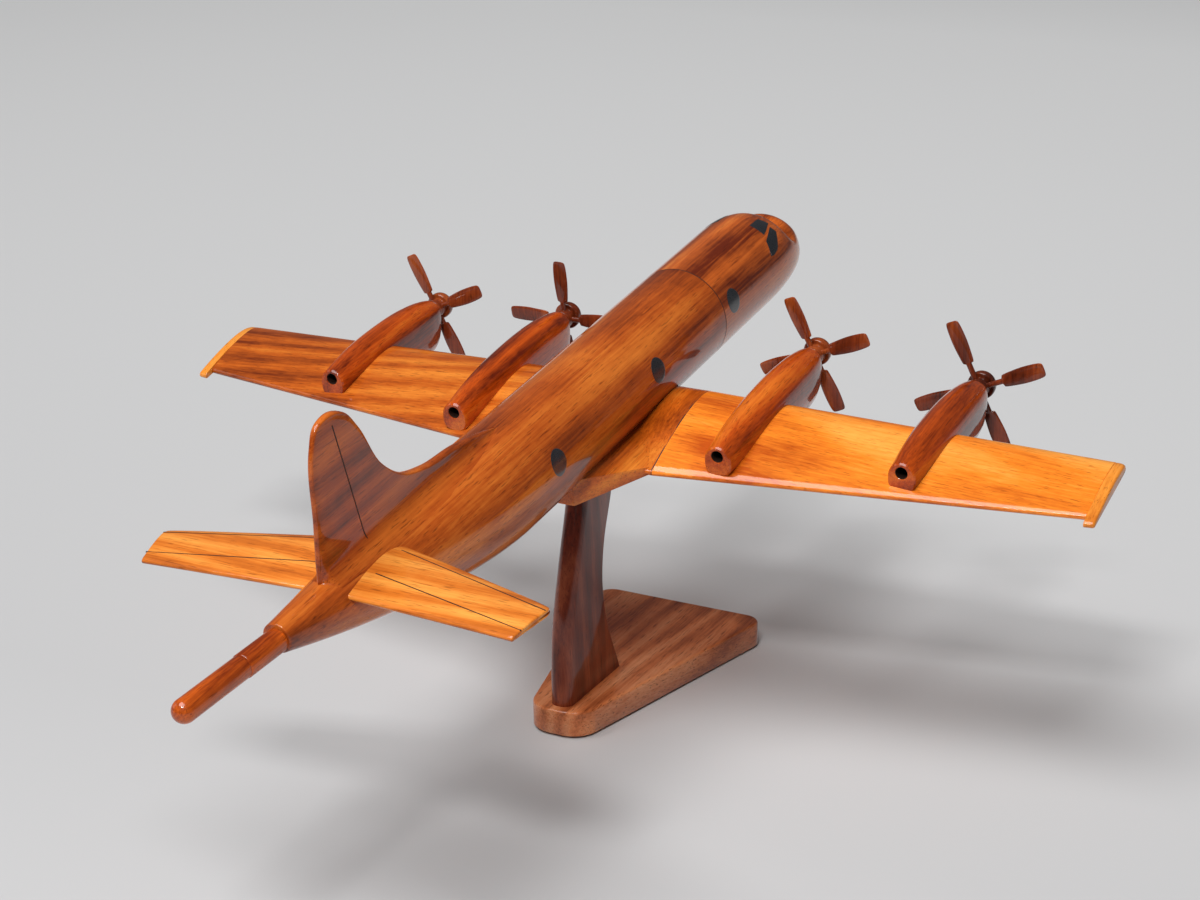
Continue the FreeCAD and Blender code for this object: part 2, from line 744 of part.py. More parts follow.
def main():
    os.makedirs("parts", exist_ok=True)
    pieces = make_stand()
    pieces.update(make_aeroplane())
    for node, shape in sorted(pieces.items()):
        solids = shape.Solids
        print("%-34s solids %d volume %.0f" % (node, len(solids), shape.Volume))
        shape = solids[0] if len(solids) == 1 else Part.makeCompound(solids)
        shape.exportStep("parts/%s.step" % node)


main()
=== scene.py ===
import math

import bmesh
import bpy
import numpy as np
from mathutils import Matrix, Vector


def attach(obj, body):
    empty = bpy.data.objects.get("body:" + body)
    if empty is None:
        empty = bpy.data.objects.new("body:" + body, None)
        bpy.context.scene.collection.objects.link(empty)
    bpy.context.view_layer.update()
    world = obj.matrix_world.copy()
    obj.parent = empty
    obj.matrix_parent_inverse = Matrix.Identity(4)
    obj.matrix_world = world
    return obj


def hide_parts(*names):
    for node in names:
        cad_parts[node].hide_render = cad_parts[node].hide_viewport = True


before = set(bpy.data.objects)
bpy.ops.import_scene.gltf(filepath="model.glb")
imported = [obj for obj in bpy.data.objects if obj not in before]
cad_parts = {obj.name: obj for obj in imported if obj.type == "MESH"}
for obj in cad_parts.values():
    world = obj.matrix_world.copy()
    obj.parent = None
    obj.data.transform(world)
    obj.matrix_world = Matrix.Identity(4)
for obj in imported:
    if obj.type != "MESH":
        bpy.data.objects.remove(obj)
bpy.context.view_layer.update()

# Carved wooden desk model of a propeller patrol aeroplane, lifted off a leaning column.
# Aeroplane pieces are drawn level in millimetres: X to port, Y aft of the nose tip,
# Z up from the body axis.  on_stand() tilts them nose-up over the stand, in metres.

MM = 0.001
NOSE_UP = math.radians(7.1)
SEAT_STATION, BELLY_HEIGHT = 193.0, -23.4
SEAT_OFFSET, SEAT_HEIGHT = 21.3, 116.0

# body
BODY_R = 22.35
NOSE_LENGTH = 50.0
NOSE_TIP_HEIGHT = -10.0
NOSE_JOINT = 108.0
TAPER = 278.0
TAIL_END = 422.2
TAIL_END_R = 5.7
TAIL_END_HEIGHT = 14.8
TAIL_ROUND = 0.5
NOTCH_FRONT, NOTCH_REAR, NOTCH_HEIGHT = 147.0, 242.0, -18.5
SEAM_DEPTH = 0.40
SEAM_WIDTH = 0.34
SEAM_FILM_HALF = 0.30         # dark glue film between nose block and body
SEAM_FILM_SUNK = 0.04
HOLLOW = (-4.2, 25.0, 4.6)    # windscreen hollow: height, station, spread
SWELLING = (1.4, 13.5, 5.0)   # rounded nose below the windscreen
TIP_GAP = 0.02                # first ring of the nose, just aft of its tip

# wing
STUB = 34.5
WING_JOINT = 206.5
CAP_WIDTH = 4.4
ROOT_NOSE, ROOT_TAIL = (149.0, -14.2), (209.8, -21.8)
TIP_NOSE, TIP_TAIL = (139.3, -22.1), (177.8, -26.6)
ROOT_THICK, TIP_THICK = 11.0, 5.2
TAIL_EDGE = 2.4
CAP_OVERHANG = 5.0
WING_FILM_FACES = (-0.30, 0.28)   # dark glue film at the wing joint, inner and outer face
WING_FILM_SUNK = 0.03

AROUND = 96


# ---- placing and meshing ----------------------------------------------------
def on_stand(points):
    """Aeroplane millimetres to row metres: shift the belly seat to the origin, turn
    about X by the nose-up angle, then lift to the top of the column."""
    p = np.asarray(points, float)
    y, z = p[..., 1] - SEAT_STATION, p[..., 2] - BELLY_HEIGHT
    c, s = math.cos(NOSE_UP), math.sin(NOSE_UP)
    return np.stack([p[..., 0], y * c + z * s + SEAT_OFFSET, -y * s + z * c + SEAT_HEIGHT], -1) * MM


def new_object(name, data):
    """Object at the origin, linked into the scene."""
    item = bpy.data.objects.new(name, data)
    bpy.context.scene.collection.objects.link(item)
    return item


def smooth_shade(mesh, sharp):
    """Smooth except across edges sharper than an angle."""
    mesh.polygons.foreach_set("use_smooth", np.ones(len(mesh.polygons), bool))
    mesh.set_sharp_from_angle(angle=math.radians(sharp))


def mesh_piece(name, verts, faces, sharp):
    """Object from vertices and faces, turned to face outwards by the sign of the enclosed
    volume."""
    verts = np.asarray(verts, float)
    volume = 0.0
    for group in faces:
        a, b, c = verts[group[:, 0]], verts[group[:, 1]], verts[group[:, 2]]
        volume += np.einsum("ij,ij->", a, np.cross(b, c))
        if group.shape[1] == 4:
            volume += np.einsum("ij,ij->", a, np.cross(c, verts[group[:, 3]]))
    lists = []
    for group in faces:
        lists += (group[:, ::-1] if volume < 0 else group).tolist()
    mesh = bpy.data.meshes.new(name)
    mesh.from_pydata(verts.tolist(), [], lists)
    mesh.update()
    smooth_shade(mesh, sharp)
    return new_object(name, mesh)


def tube_faces(rows, cols, start):
    """Quads between neighbouring rings of a grid that closes on itself along each ring,
    and fans to one centre vertex at each end."""
    grid = start + np.arange(rows * cols).reshape(rows, cols)
    nxt = np.roll(grid, -1, axis=1)
    quads = np.stack([grid[:-1], nxt[:-1], nxt[1:], grid[1:]], -1).reshape(-1, 4)
    first, last = start + rows * cols, start + rows * cols + 1
    low = np.stack([nxt[0], grid[0], np.full(cols, first)], -1)
    high = np.stack([grid[-1], nxt[-1], np.full(cols, last)], -1)
    return [quads, low, high]


def tubes(name, many, sharp=38.0):
    """Piece of closed tubes, each from a (rings, points, 3) grid in metres with its ends
    fanned to the middle of the end rings."""
    verts, faces, start = [], [], 0
    for rings in many:
        rows, cols = rings.shape[:2]
        verts += [rings.reshape(-1, 3), rings[0].mean(0)[None], rings[-1].mean(0)[None]]
        faces += tube_faces(rows, cols, start)
        start += rows * cols + 2
    merged = [np.concatenate([f for f in faces if f.shape[1] == n]) for n in (4, 3)]
    return mesh_piece(name, np.concatenate(verts), merged, sharp)


def tube(name, rings, sharp=38.0):
    """Piece of one closed tube."""
    return tubes(name, [rings], sharp)


def mirrored(points):
    """The same grid on the other side of the symmetry plane."""
    return points * np.array([-1.0, 1.0, 1.0])


def to_side(points, side):
    """Port as drawn, where side is 1, or its mirror image, where it is -1."""
    return points if side > 0 else mirrored(points)


def smooth(x, xs, ys):
    """Cubic through given points: each slope is the central difference of its neighbours."""
    xs, ys = np.asarray(xs, float), np.asarray(ys, float)
    slope = np.gradient(ys, xs)
    i = np.clip(np.searchsorted(xs, x) - 1, 0, len(xs) - 2)
    h = xs[i + 1] - xs[i]
    t = np.clip((x - xs[i]) / h, 0, 1)
    return (ys[i] * (1 + 2 * t) * (1 - t) ** 2 + slope[i] * h * t * (1 - t) ** 2
            + ys[i + 1] * t ** 2 * (3 - 2 * t) - slope[i + 1] * h * t ** 2 * (1 - t))


def ease(x, low, high):
    """0 below low, 1 above high, and a smooth cubic step between."""
    t = np.clip((x - low) / (high - low), 0, 1)
    return t * t * (3 - 2 * t)


def inset_rings(points, depth):
    """Moves each ring of a (rings, points, 2) grid inwards by a depth, along the normal
    taken from its neighbours on the ring."""
    run = np.roll(points, -1, axis=1) - np.roll(points, 1, axis=1)
    normal = np.stack([run[..., 1], -run[..., 0]], -1)
    normal /= np.linalg.norm(normal, axis=-1, keepdims=True)
    nxt = np.roll(points, -1, axis=1)
    area = (points[..., 0] * nxt[..., 1] - points[..., 1] * nxt[..., 0]).sum(1)
    side = np.where(area > 0, 1.0, -1.0)[:, None, None]
    return points - normal * side * np.asarray(depth, float).reshape(-1, 1, 1)


def lathe(profile, cols=64):
    """Rings turned about Y from (distance along Y, radius) pairs."""
    profile = np.asarray(profile, float)
    turn = np.linspace(0, 2 * np.pi, cols, endpoint=False)
    radius = profile[:, 1:2]
    return np.stack([radius * np.cos(turn), np.repeat(profile[:, :1], cols, 1),
                     radius * np.sin(turn)], -1)


# ---- body -------------------------------------------------------------------
def body_limits(y):
    """Half width, underside and top of the body: power curves over the nose, even along
    the middle, a straight top and a curved underside along the tail."""
    y = np.asarray(y, float)
    left = np.clip(1 - y / NOSE_LENGTH, 0, 1)
    fall = BODY_R + NOSE_TIP_HEIGHT
    half = BODY_R * np.sqrt(1 - left ** 2.4)
    low = NOSE_TIP_HEIGHT - fall * np.sqrt(1 - left ** 1.75)
    high = NOSE_TIP_HEIGHT + (BODY_R - NOSE_TIP_HEIGHT) * (1 - left ** 1.95) ** 0.62
    share = np.clip((y - TAPER) / (TAIL_END - TAPER), 0, 1)
    tail_low = -BODY_R + (BODY_R + TAIL_END_HEIGHT - TAIL_END_R) * share ** 1.55
    tail_high = BODY_R + (TAIL_END_HEIGHT + TAIL_END_R - BODY_R) * share
    tail = y > TAPER
    low, high = np.where(tail, tail_low, low), np.where(tail, tail_high, high)
    return np.where(tail, (high - low) / 2, half), low, high


def hump(y, height, station, spread):
    """Bell curve along the body: height times e to the minus squared distance in spreads."""
    return height * np.exp(-((y - station) / spread) ** 2)


def body_point(y, angle, inset=0.0):
    """Point on the body skin: an ellipse across the axis, with the windscreen pressed in
    above the nose and the rounded nose swelling below it."""
    half, low, high = body_limits(y)
    half, low, high = half - inset, low + inset, high - inset
    x = half * np.cos(angle)
    up = np.sin(angle)
    z = (low + high) / 2 + (high - low) / 2 * up
    near = (1 - ease(np.abs(x), 14, 22)) * ease(up, 0.1, 0.6)
    z = z + near * (hump(y, *HOLLOW) + hump(y, *SWELLING))
    return np.stack([x, y + 0 * x, z], -1)


def body_rings(stations, insets):
    """Rings of skin points at stations, each moved inwards by its inset."""
    turn = np.linspace(0, 2 * np.pi, AROUND, endpoint=False)
    y, angle = np.meshgrid(stations, turn, indexing="ij")
    return body_point(y, angle, np.asarray(insets, float)[:, None])


def make_nose():
    """Rings crowd towards the tip as squares; the last few step in for the glue line."""
    curve = TIP_GAP + (NOSE_LENGTH - TIP_GAP) * (np.arange(61) / 60) ** 2
    straight = np.linspace(NOSE_LENGTH, NOSE_JOINT - SEAM_WIDTH, 30)[1:]
    stations = np.concatenate([curve, straight, [NOSE_JOINT - 0.05]])
    insets = np.zeros(len(stations))
    insets[-1] = SEAM_DEPTH
    return tube("nose_block", on_stand(body_rings(stations, insets)))


def make_body():
    """Even barrel and tail cone, notched flat over the wing plank.  The last rings turn in
    over a quarter round; the first steps in for the glue line."""
    bend = np.linspace(0.3, np.pi / 2, 5)
    stations = np.concatenate([[NOSE_JOINT + 0.05],
                               np.linspace(NOSE_JOINT + SEAM_WIDTH, TAPER, 90),
                               np.linspace(TAPER, TAIL_END - TAIL_ROUND, 70)[1:],
                               TAIL_END - TAIL_ROUND * (1 - np.sin(bend))])
    insets = np.zeros(len(stations))
    insets[0] = SEAM_DEPTH
    insets[-5:] = TAIL_ROUND * (1 - np.cos(bend))
    rings = body_rings(stations, insets)
    y, z = rings[..., 1], rings[..., 2]
    over_wing = (y > NOTCH_FRONT + 5) & (y < NOTCH_REAR - 5)
    rings[..., 2] = np.where(over_wing, np.maximum(z, NOTCH_HEIGHT + 0.05), z)
    return tube("body_barrel", on_stand(rings))


def make_seam_ring():
    """Dark glue line between nose block and body: a flat band just under the skin."""
    outer = BODY_R - SEAM_FILM_SUNK
    near, far = NOSE_JOINT - SEAM_FILM_HALF, NOSE_JOINT + SEAM_FILM_HALF
    band = [(near, outer - 1), (near, outer), (far, outer), (far, outer - 1)]
    return tube("nose_glue_line", on_stand(lathe(band, AROUND)))


# ---- inlays -----------------------------------------------------------------
WINDOW_R = 5.3
WINDOW_HEIGHT = 6.0
WINDOW_STATIONS = (97.7, 172.5, 260.0)
INLAY_PROUD = 0.06
INLAY_DEEP = 0.7


def window_grid(station, side):
    """Disc wrapped on the barrel: rings of growing radius in (Y, Z) give X from the
    body's circle; the rim turns down into the wood."""
    radius = np.array([0.3, 1.5, 3.0, 4.2, 4.9, 5.15, WINDOW_R, WINDOW_R, WINDOW_R])
    lift = np.array([0.06, 0.06, 0.06, 0.06, 0.06, 0.05, 0.0, -0.3, -INLAY_DEEP])
    turn = np.linspace(0, 2 * np.pi, 64, endpoint=False)
    y = station + radius[:, None] * np.cos(turn)
    z = WINDOW_HEIGHT + radius[:, None] * np.sin(turn)
    x = np.sqrt(BODY_R ** 2 - z ** 2)
    out = 1 + lift[:, None] / BODY_R
    grid = np.stack([x * out, y, z * out], -1)
    return to_side(grid, side)


def make_windows(side, name):
    """The three round windows of one side."""
    return tubes(name, [on_stand(window_grid(s, side)) for s in WINDOW_STATIONS])


PANES = (
    # two rails of (station, X, Z) points each; the pane is ruled between them
    (((38.2, 15.8, 14.6), (46.3, 20.1, 9.7), (51.8, 20.6, 8.9), (54.3, 20.3, 9.4)),
     ((39.3, 13.3, 17.0), (43.5, 14.6, 16.6), (48.5, 16.0, 15.6), (51.0, 16.6, 15.0))),
    (((39.3, 7.5, 20.0), (42.6, 7.6, 20.3), (46.0, 7.8, 20.6), (49.4, 8.0, 20.9)),
     ((37.1, 11.6, 17.7), (41.1, 12.8, 17.5), (45.1, 14.0, 17.2), (48.8, 14.7, 16.9))),
    (((31.2, 1.0, 17.4), (32.0, 4.0, 17.4), (32.5, 7.0, 17.4), (32.9, 10.1, 17.4)),
     ((24.5, 1.0, 12.4), (26.5, 5.5, 12.6), (28.8, 10.5, 13.0), (31.0, 15.2, 12.9))),
)


def skin_coordinates(point):
    """Station and angle of a point on the body skin."""
    y, x, z = np.asarray(point, float)
    half, low, high = body_limits(y)
    return y, math.atan2((z - (low + high) / 2) / ((high - low) / 2), x / half)


def pane_grid(rails, side):
    """Patch of the body skin ruled between two rails in (station, angle), proud of the
    wood by a hair, with its rim turned down into the wood."""
    ends = [np.array([skin_coordinates(p) for p in rail]) for rail in rails]
    t = np.linspace(0, 1, 15)
    knots = np.linspace(0, 1, 4)
    a, b = [np.stack([np.interp(t, knots, e[:, k]) for k in (0, 1)], -1) for e in ends]
    v = np.linspace(0, 1, 9)[:, None, None]
    flat = a[None] * (1 - v) + b[None] * v
    rows, cols = flat.shape[:2]
    # walk round the rim once, so that the patch becomes rings: centre out, then down
    rim = np.concatenate([np.stack([np.zeros(cols - 1, int), np.arange(cols - 1)], -1),
                          np.stack([np.arange(rows - 1), np.full(rows - 1, cols - 1)], -1),
                          np.stack([np.full(cols - 1, rows - 1), np.arange(cols - 1, 0, -1)], -1),
                          np.stack([np.arange(rows - 1, 0, -1), np.zeros(rows - 1, int)], -1)])
    centre = flat[rows // 2, cols // 2]
    edge = flat[rim[:, 0], rim[:, 1]]
    shares = np.array([0.12, 0.4, 0.7, 0.93, 1.0, 1.0])[:, None, None]
    spread = centre + (edge - centre) * shares
    lift = np.array([-INLAY_PROUD] * 4 + [-INLAY_PROUD * 0.6, INLAY_DEEP])[:, None]
    grid = body_point(spread[..., 0], spread[..., 1], lift)
    return to_side(grid, side)


def make_panes():
    """The three cockpit panes of each side."""
    return tubes("cockpit_glazing", [on_stand(pane_grid(rails, side))
                                     for rails in PANES for side in (1, -1)])


# ---- wing -------------------------------------------------------------------
def foil_half(share):
    """Rounded nose, fullest at a third of the chord, closing at the tail; peak 1."""
    return 10 * (0.2969 * np.sqrt(share) - 0.1260 * share - 0.3516 * share ** 2
                 + 0.2843 * share ** 3 - 0.1036 * share ** 4)


def foil_ring(nose, tail, thickness, edge):
    """Wing section as (Y, Z) points: full top, nearly flat underside, rounded blunt tail.
    nose and tail are (rows, 2); thickness is (rows,)."""
    chord = np.linalg.norm(tail - nose, axis=1)[:, None]
    along = (tail - nose) / chord
    across = np.stack([-along[:, 1], along[:, 0]], -1)
    blunt = edge / 2
    last = 1 - blunt / chord
    thick = np.asarray(thickness, float)[:, None]
    bend = (1 - np.cos(np.linspace(0, np.pi / 2, 44))) ** 1.25
    top = bend[::-1][None] * last
    top_h = 0.62 * thick * foil_half(top) + blunt * top
    low = bend[1:][None] * last
    knee = 0.07
    knee_h = -0.38 * thick * foil_half(knee)
    straight = knee_h + (-blunt - knee_h) * (low - knee) / (last - knee)
    low_h = np.where(low < knee, -0.38 * thick * foil_half(np.minimum(low, knee)), straight)
    turn = np.linspace(-np.pi / 2, np.pi / 2, 11)[1:-1]
    end = last + blunt / chord * np.cos(turn)
    end_h = blunt * np.sin(turn) + 0 * chord
    share = np.concatenate([top, low, end], 1)
    height = np.concatenate([top_h, low_h, end_h], 1)
    return (nose[:, None] + along[:, None] * (share * chord)[..., None]
            + across[:, None] * height[..., None])


def wing_lines(x):
    """Nose line, tail line and thickness of the port wing at distances from the axis."""
    share = ((x - STUB) / (WING_JOINT + CAP_WIDTH - STUB))[:, None]
    nose = np.array(ROOT_NOSE) + (np.array(TIP_NOSE) - ROOT_NOSE) * share
    tail = np.array(ROOT_TAIL) + (np.array(TIP_TAIL) - ROOT_TAIL) * share
    return nose, tail, ROOT_THICK + (TIP_THICK - ROOT_THICK) * share[:, 0]


def round_ends(low, high, inner, outer, middle):
    """Positions along a piece and how deep each section is inset, a quarter round of a
    given radius at each end."""
    bend = np.linspace(0, np.pi / 2, 6)
    near = low + inner * (1 - np.cos(bend))
    far = high - outer * (1 - np.cos(bend[::-1]))
    mid = np.linspace(near[-1], far[0], middle + 2)[1:-1]
    return (np.concatenate([near, mid, far]),
            np.concatenate([inner * (1 - np.sin(bend)), np.zeros(middle),
                            outer * (1 - np.sin(bend[::-1]))]))


def with_x(x, rings):
    """(rings, points, 3) grid from (Y, Z) rings and the X of each ring or point."""
    x = np.broadcast_to(np.asarray(x, float).reshape(len(rings), -1), rings.shape[:2])
    return np.concatenate([x[..., None], rings], -1)


def wing_grid():
    """Port wing plank, from the centre block out to the cap."""
    x, depth = round_ends(STUB, WING_JOINT, 0.3, 0.3, 60)
    nose, tail, thick = wing_lines(x)
    return with_x(x, inset_rings(foil_ring(nose, tail, thick, TAIL_EDGE), depth))


def wing_joint_grid():
    """Thin dark glue film just below the surface between centre block and wing."""
    x = STUB + np.array(WING_FILM_FACES)
    nose, tail, thick = wing_lines(x)
    return with_x(x, inset_rings(foil_ring(nose, tail, thick, TAIL_EDGE), [WING_FILM_SUNK] * 2))


def wing_cap_grid():
    """Short end piece that runs on past the wing's tail; its outer front corner is a
    quarter circle."""
    x, depth = round_ends(WING_JOINT, WING_JOINT + CAP_WIDTH, 0.3, 1.0, 14)
    nose, tail, thick = wing_lines(x)
    along = (tail - nose) / np.linalg.norm(tail - nose, axis=1)[:, None]
    corner = 3.0
    past = np.clip(x - (WING_JOINT + CAP_WIDTH - corner), 0, corner)
    nose = nose + along * (corner - np.sqrt(corner ** 2 - past ** 2))[:, None]
    tail = tail + along * CAP_OVERHANG
    return with_x(x, inset_rings(foil_ring(nose, tail, thick, TAIL_EDGE), depth))


# ---- tailplane --------------------------------------------------------------
PLANE_HEIGHT = 15.3
PLANE_ROOT_X, PLANE_TIP_X = 5.0, 82.0
PLANE_ROOT_NOSE, PLANE_ROOT_TAIL = 352.0, 391.0
PLANE_NOSE_SWEEP, PLANE_TAIL_SWEEP = 21.0, 4.6
PLANE_ROOT_THICK, PLANE_TIP_THICK = 5.4, 3.2
PLANE_EDGE = 1.8
SCORE_WIDTH, SCORE_PROUD, SCORE_DEEP = 0.5, 0.03, 0.3
PLANE_SCORES = (((12.0, 359.6), (80.0, 377.2)), ((12.0, 377.0), (78.0, 390.8)))


def tailplane_lines(x):
    """Nose line, tail line and thickness of the port tailplane at distances from the axis,
    straight from root to tip."""
    share = ((x - PLANE_ROOT_X) / (PLANE_TIP_X - PLANE_ROOT_X))[:, None]
    nose = np.array((PLANE_ROOT_NOSE, PLANE_HEIGHT)) + np.array((PLANE_NOSE_SWEEP, 0.0)) * share
    tail = np.array((PLANE_ROOT_TAIL, PLANE_HEIGHT)) + np.array((PLANE_TAIL_SWEEP, 0.0)) * share
    return nose, tail, PLANE_ROOT_THICK + (PLANE_TIP_THICK - PLANE_ROOT_THICK) * share[:, 0]


def tailplane_grid():
    """Section rows run out to a raked tip, so X falls back along the chord."""
    x, depth = round_ends(PLANE_ROOT_X, PLANE_TIP_X, 0.1, 0.85, 46)
    nose, tail, thick = tailplane_lines(x)
    rings = inset_rings(foil_ring(nose, tail, thick, PLANE_EDGE), depth)
    out = ((x - PLANE_ROOT_X) / (PLANE_TIP_X - PLANE_ROOT_X))[:, None]
    back = np.clip((rings[..., 0] - 369.0) / 32.6, 0, 1) * 6.1 * out ** 3
    front = np.clip(1 - (rings[..., 0] - nose[:, :1]) / 5.0, 0, 1) ** 2 * 2.0 * out ** 12
    return with_x(x[:, None] - back - front, rings)


def scored_line(path, across):
    """Thin dark strip laid on a surface: its path's points, moved half a width each way
    along a direction, and closed below."""
    side = np.asarray(across, float) * SCORE_WIDTH / 2
    up = np.cross(np.gradient(path, axis=0), side)
    up /= np.linalg.norm(up, axis=1, keepdims=True)
    up *= np.sign(up[:, 2:3])
    high, low = up * SCORE_PROUD, up * SCORE_DEEP
    return on_stand(np.stack([path + side + high, path - side + high,
                              path - side - low, path + side - low], 1))


def top_of_tailplane(x, y):
    """Height of the upper face over a point of the plan."""
    nose, tail, thick = tailplane_lines(x)
    chord = tail[:, 0] - nose[:, 0]
    share = np.clip((y - nose[:, 0]) / chord, 0, 1)
    return PLANE_HEIGHT + 0.62 * thick * foil_half(share) + 0.9 * share


def make_tailplane_scores(side, name):
    """Two straight lines of the plan, laid on the upper face."""
    grids = []
    for near, far in PLANE_SCORES:
        t = np.linspace(0, 1, 40)
        x, y = near[0] + (far[0] - near[0]) * t, near[1] + (far[1] - near[1]) * t
        path = np.stack([x, y, top_of_tailplane(x, y)], -1)
        grids.append(to_side(scored_line(path, (0, 1, 0)), side))
    return tubes(name, grids)


# ---- fin --------------------------------------------------------------------
FIN_RIDGE = np.array([(262.0, 20.0), (280.0, 25.4), (300.0, 29.3), (322.0, 31.8), (338.0, 37.0),
                      (350.0, 47.0), (362.0, 68.0), (368.0, 75.4), (377.0, 78.8),
                      (385.6, 76.6), (388.8, 70.5), (392.4, 42.0), (395.2, 19.0)])
FIN_HALF = 2.1
FIN_EDGE_ROUND = 0.9
FIN_START, FIN_FOOT_END = 262.0, 394.6
FIN_FOOT_SHARES = ((0, 0.30, 0.55, 0.72, 0.8, 1), (0, 0.42, 0.72, 0.84, 0.9, 1))   # of ridge, foot
FIN_SCORE = ((376.9, 74.5), (366.4, 25.0))
FIN_FILLET = 7.0


def along_polyline(points, count):
    """Evenly spaced points on a smooth curve through given points."""
    length = np.concatenate([[0], np.cumsum(np.linalg.norm(np.diff(points, axis=0), axis=1))])
    s = np.linspace(0, 1, count) * length[-1]
    return np.stack([smooth(s, length, points[:, k]) for k in (0, 1)], -1)


def fin_side():
    """Each side is a sheet from the ridge down to the body: a quarter round over the
    ridge, a straight face, then a cubic that leaves the face upright and lands tangent on
    the body.  Columns follow the ridge outline."""
    ridge = along_polyline(FIN_RIDGE, 150)
    share = np.linspace(0, 1, len(ridge))
    foot_y = FIN_START + (FIN_FOOT_END - FIN_START) * np.interp(share, *FIN_FOOT_SHARES)
    _, low, high = body_limits(foot_y)
    centre, radius = (low + high) / 2, (high - low) / 2
    rise = np.clip(ridge[:, 1] - high, 0.02, None)
    thick = FIN_HALF * np.clip(0.25 + rise / 9.0, 0.25, 1)
    thin = thick * (1 - 0.5 * ease(ridge[:, 0], 366, 393))
    fillet = np.minimum(FIN_FILLET, 0.25 + 0.62 * rise)
    tail = ease(ridge[:, 0], 386.0, 394.0)
    contact = np.minimum(thick + fillet * 1.05 * (1 - 0.35 * tail), radius * 0.9)
    tilt = np.arcsin(contact / radius)
    contact_z = centre + radius * np.cos(tilt)
    start_z = np.minimum(high + fillet, ridge[:, 1] - 0.1 * rise)
    bend = np.linspace(0, np.pi / 2, 7)[:, None]
    normal = np.gradient(ridge, axis=0)
    normal = np.stack([-normal[:, 1], normal[:, 0]], -1)
    normal /= np.linalg.norm(normal, axis=1, keepdims=True)
    edge = np.minimum(FIN_EDGE_ROUND, thin)
    rim_y = ridge[:, 0] - normal[:, 0] * edge * (1 - np.cos(bend))
    rim_z = ridge[:, 1] - normal[:, 1] * edge * (1 - np.cos(bend))
    rim_x = thin * np.sin(bend) ** 0.9
    face = np.linspace(0, 1, 16)[1:, None]
    face_y = rim_y[-1] + (foot_y - rim_y[-1]) * face
    face_z = rim_z[-1] + (start_z - rim_z[-1]) * face
    face_x = thin + (thick - thin) * face ** 0.8
    w = np.linspace(0, 1, 15)[1:, None]
    pull = np.hypot(contact - thick, start_z - contact_z) * 1.05
    b0, b1 = (1 + 2 * w) * (1 - w) ** 2, w * (1 - w) ** 2
    b2, b3 = w ** 2 * (3 - 2 * w), -(w ** 2) * (1 - w)
    arc_x = b0 * thick + b2 * contact + b3 * pull * np.cos(tilt)
    arc_z = b0 * start_z - b1 * pull + b2 * contact_z - b3 * pull * np.sin(tilt)
    arc_y = foot_y + 0 * w
    sunk_x, sunk_z = contact[None] - 0.3, contact_z[None] - 2.5
    side = np.stack([np.concatenate([rim_x, face_x, arc_x, sunk_x]),
                     np.concatenate([rim_y, face_y, arc_y, foot_y[None]]),
                     np.concatenate([rim_z, face_z, arc_z, sunk_z])], -1)
    return side.transpose(1, 0, 2)


def make_fin():
    """Both sides joined over the ridge."""
    side = fin_side()
    ring = np.concatenate([side[:, ::-1], mirrored(side[:, 1:])], 1)
    return tube("fin_blade", on_stand(ring), sharp=60)


def make_fin_score():
    """Hinge line cut down both faces of the fin to the top of its fillet.  Its
    distance out is a blend of the fin's own points, weighted by nearness."""
    t = np.linspace(0, 1, 60)
    (y0, z0), (y1, z1) = FIN_SCORE
    y, z = y0 + (y1 - y0) * t, z0 + (z1 - z0) * t
    skin = fin_side()[:, :-1].reshape(-1, 3)
    gap = (skin[None, :, 1] - y[:, None]) ** 2 + (skin[None, :, 2] - z[:, None]) ** 2
    near = np.exp(-gap / 0.8)
    x = (near * skin[None, :, 0]).sum(1) / near.sum(1)
    path = np.stack([x, y, z], -1)
    half = np.array((0, SCORE_WIDTH / 2, 0))
    out = np.array((0.06, 0, 0.02))
    grids = []
    for side in (1, -1):
        rings = np.stack([path + half + out, path - half + out, path - half - out * 8,
                          path + half - out * 8], 1)
        grids.append(on_stand(to_side(rings, side)))
    return tubes("fin_hinge_line", grids)


# ---- tail boom --------------------------------------------------------------
BOOM_ROOT_HEIGHT = 14.1
BOOM_SLOPE = 0.072
BOOM_R, BOOM_END_R = 4.58, 4.4


def boom_grid(profile):
    """Rings turned about the boom's own axis, which climbs aft of the tail cone."""
    rings = lathe(profile)
    slope = math.atan(BOOM_SLOPE)
    y, z = rings[..., 1], rings[..., 2]
    out = np.stack([rings[..., 0], TAIL_END + y * math.cos(slope) - z * math.sin(slope),
                    BOOM_ROOT_HEIGHT + y * math.sin(slope) + z * math.cos(slope)], -1)
    return on_stand(out)


def make_boom():
    """Two turned pieces with softened shoulders, the second ending in a half ball."""
    root = [(-3.0, BOOM_R), (20.1, BOOM_R), (20.5, 4.5), (20.8, 4.25), (20.95, 3.8)]
    bend = np.linspace(0, np.pi / 2, 12)[:-1]
    tip = [(20.95, 3.8), (21.1, 4.2), (21.35, 4.36), (21.8, BOOM_END_R)]
    tip += [(52.8 + BOOM_END_R * math.sin(b), BOOM_END_R * math.cos(b)) for b in bend]
    return tube("boom_first_turning", boom_grid(root)), tube("boom_end_turning", boom_grid(tip))


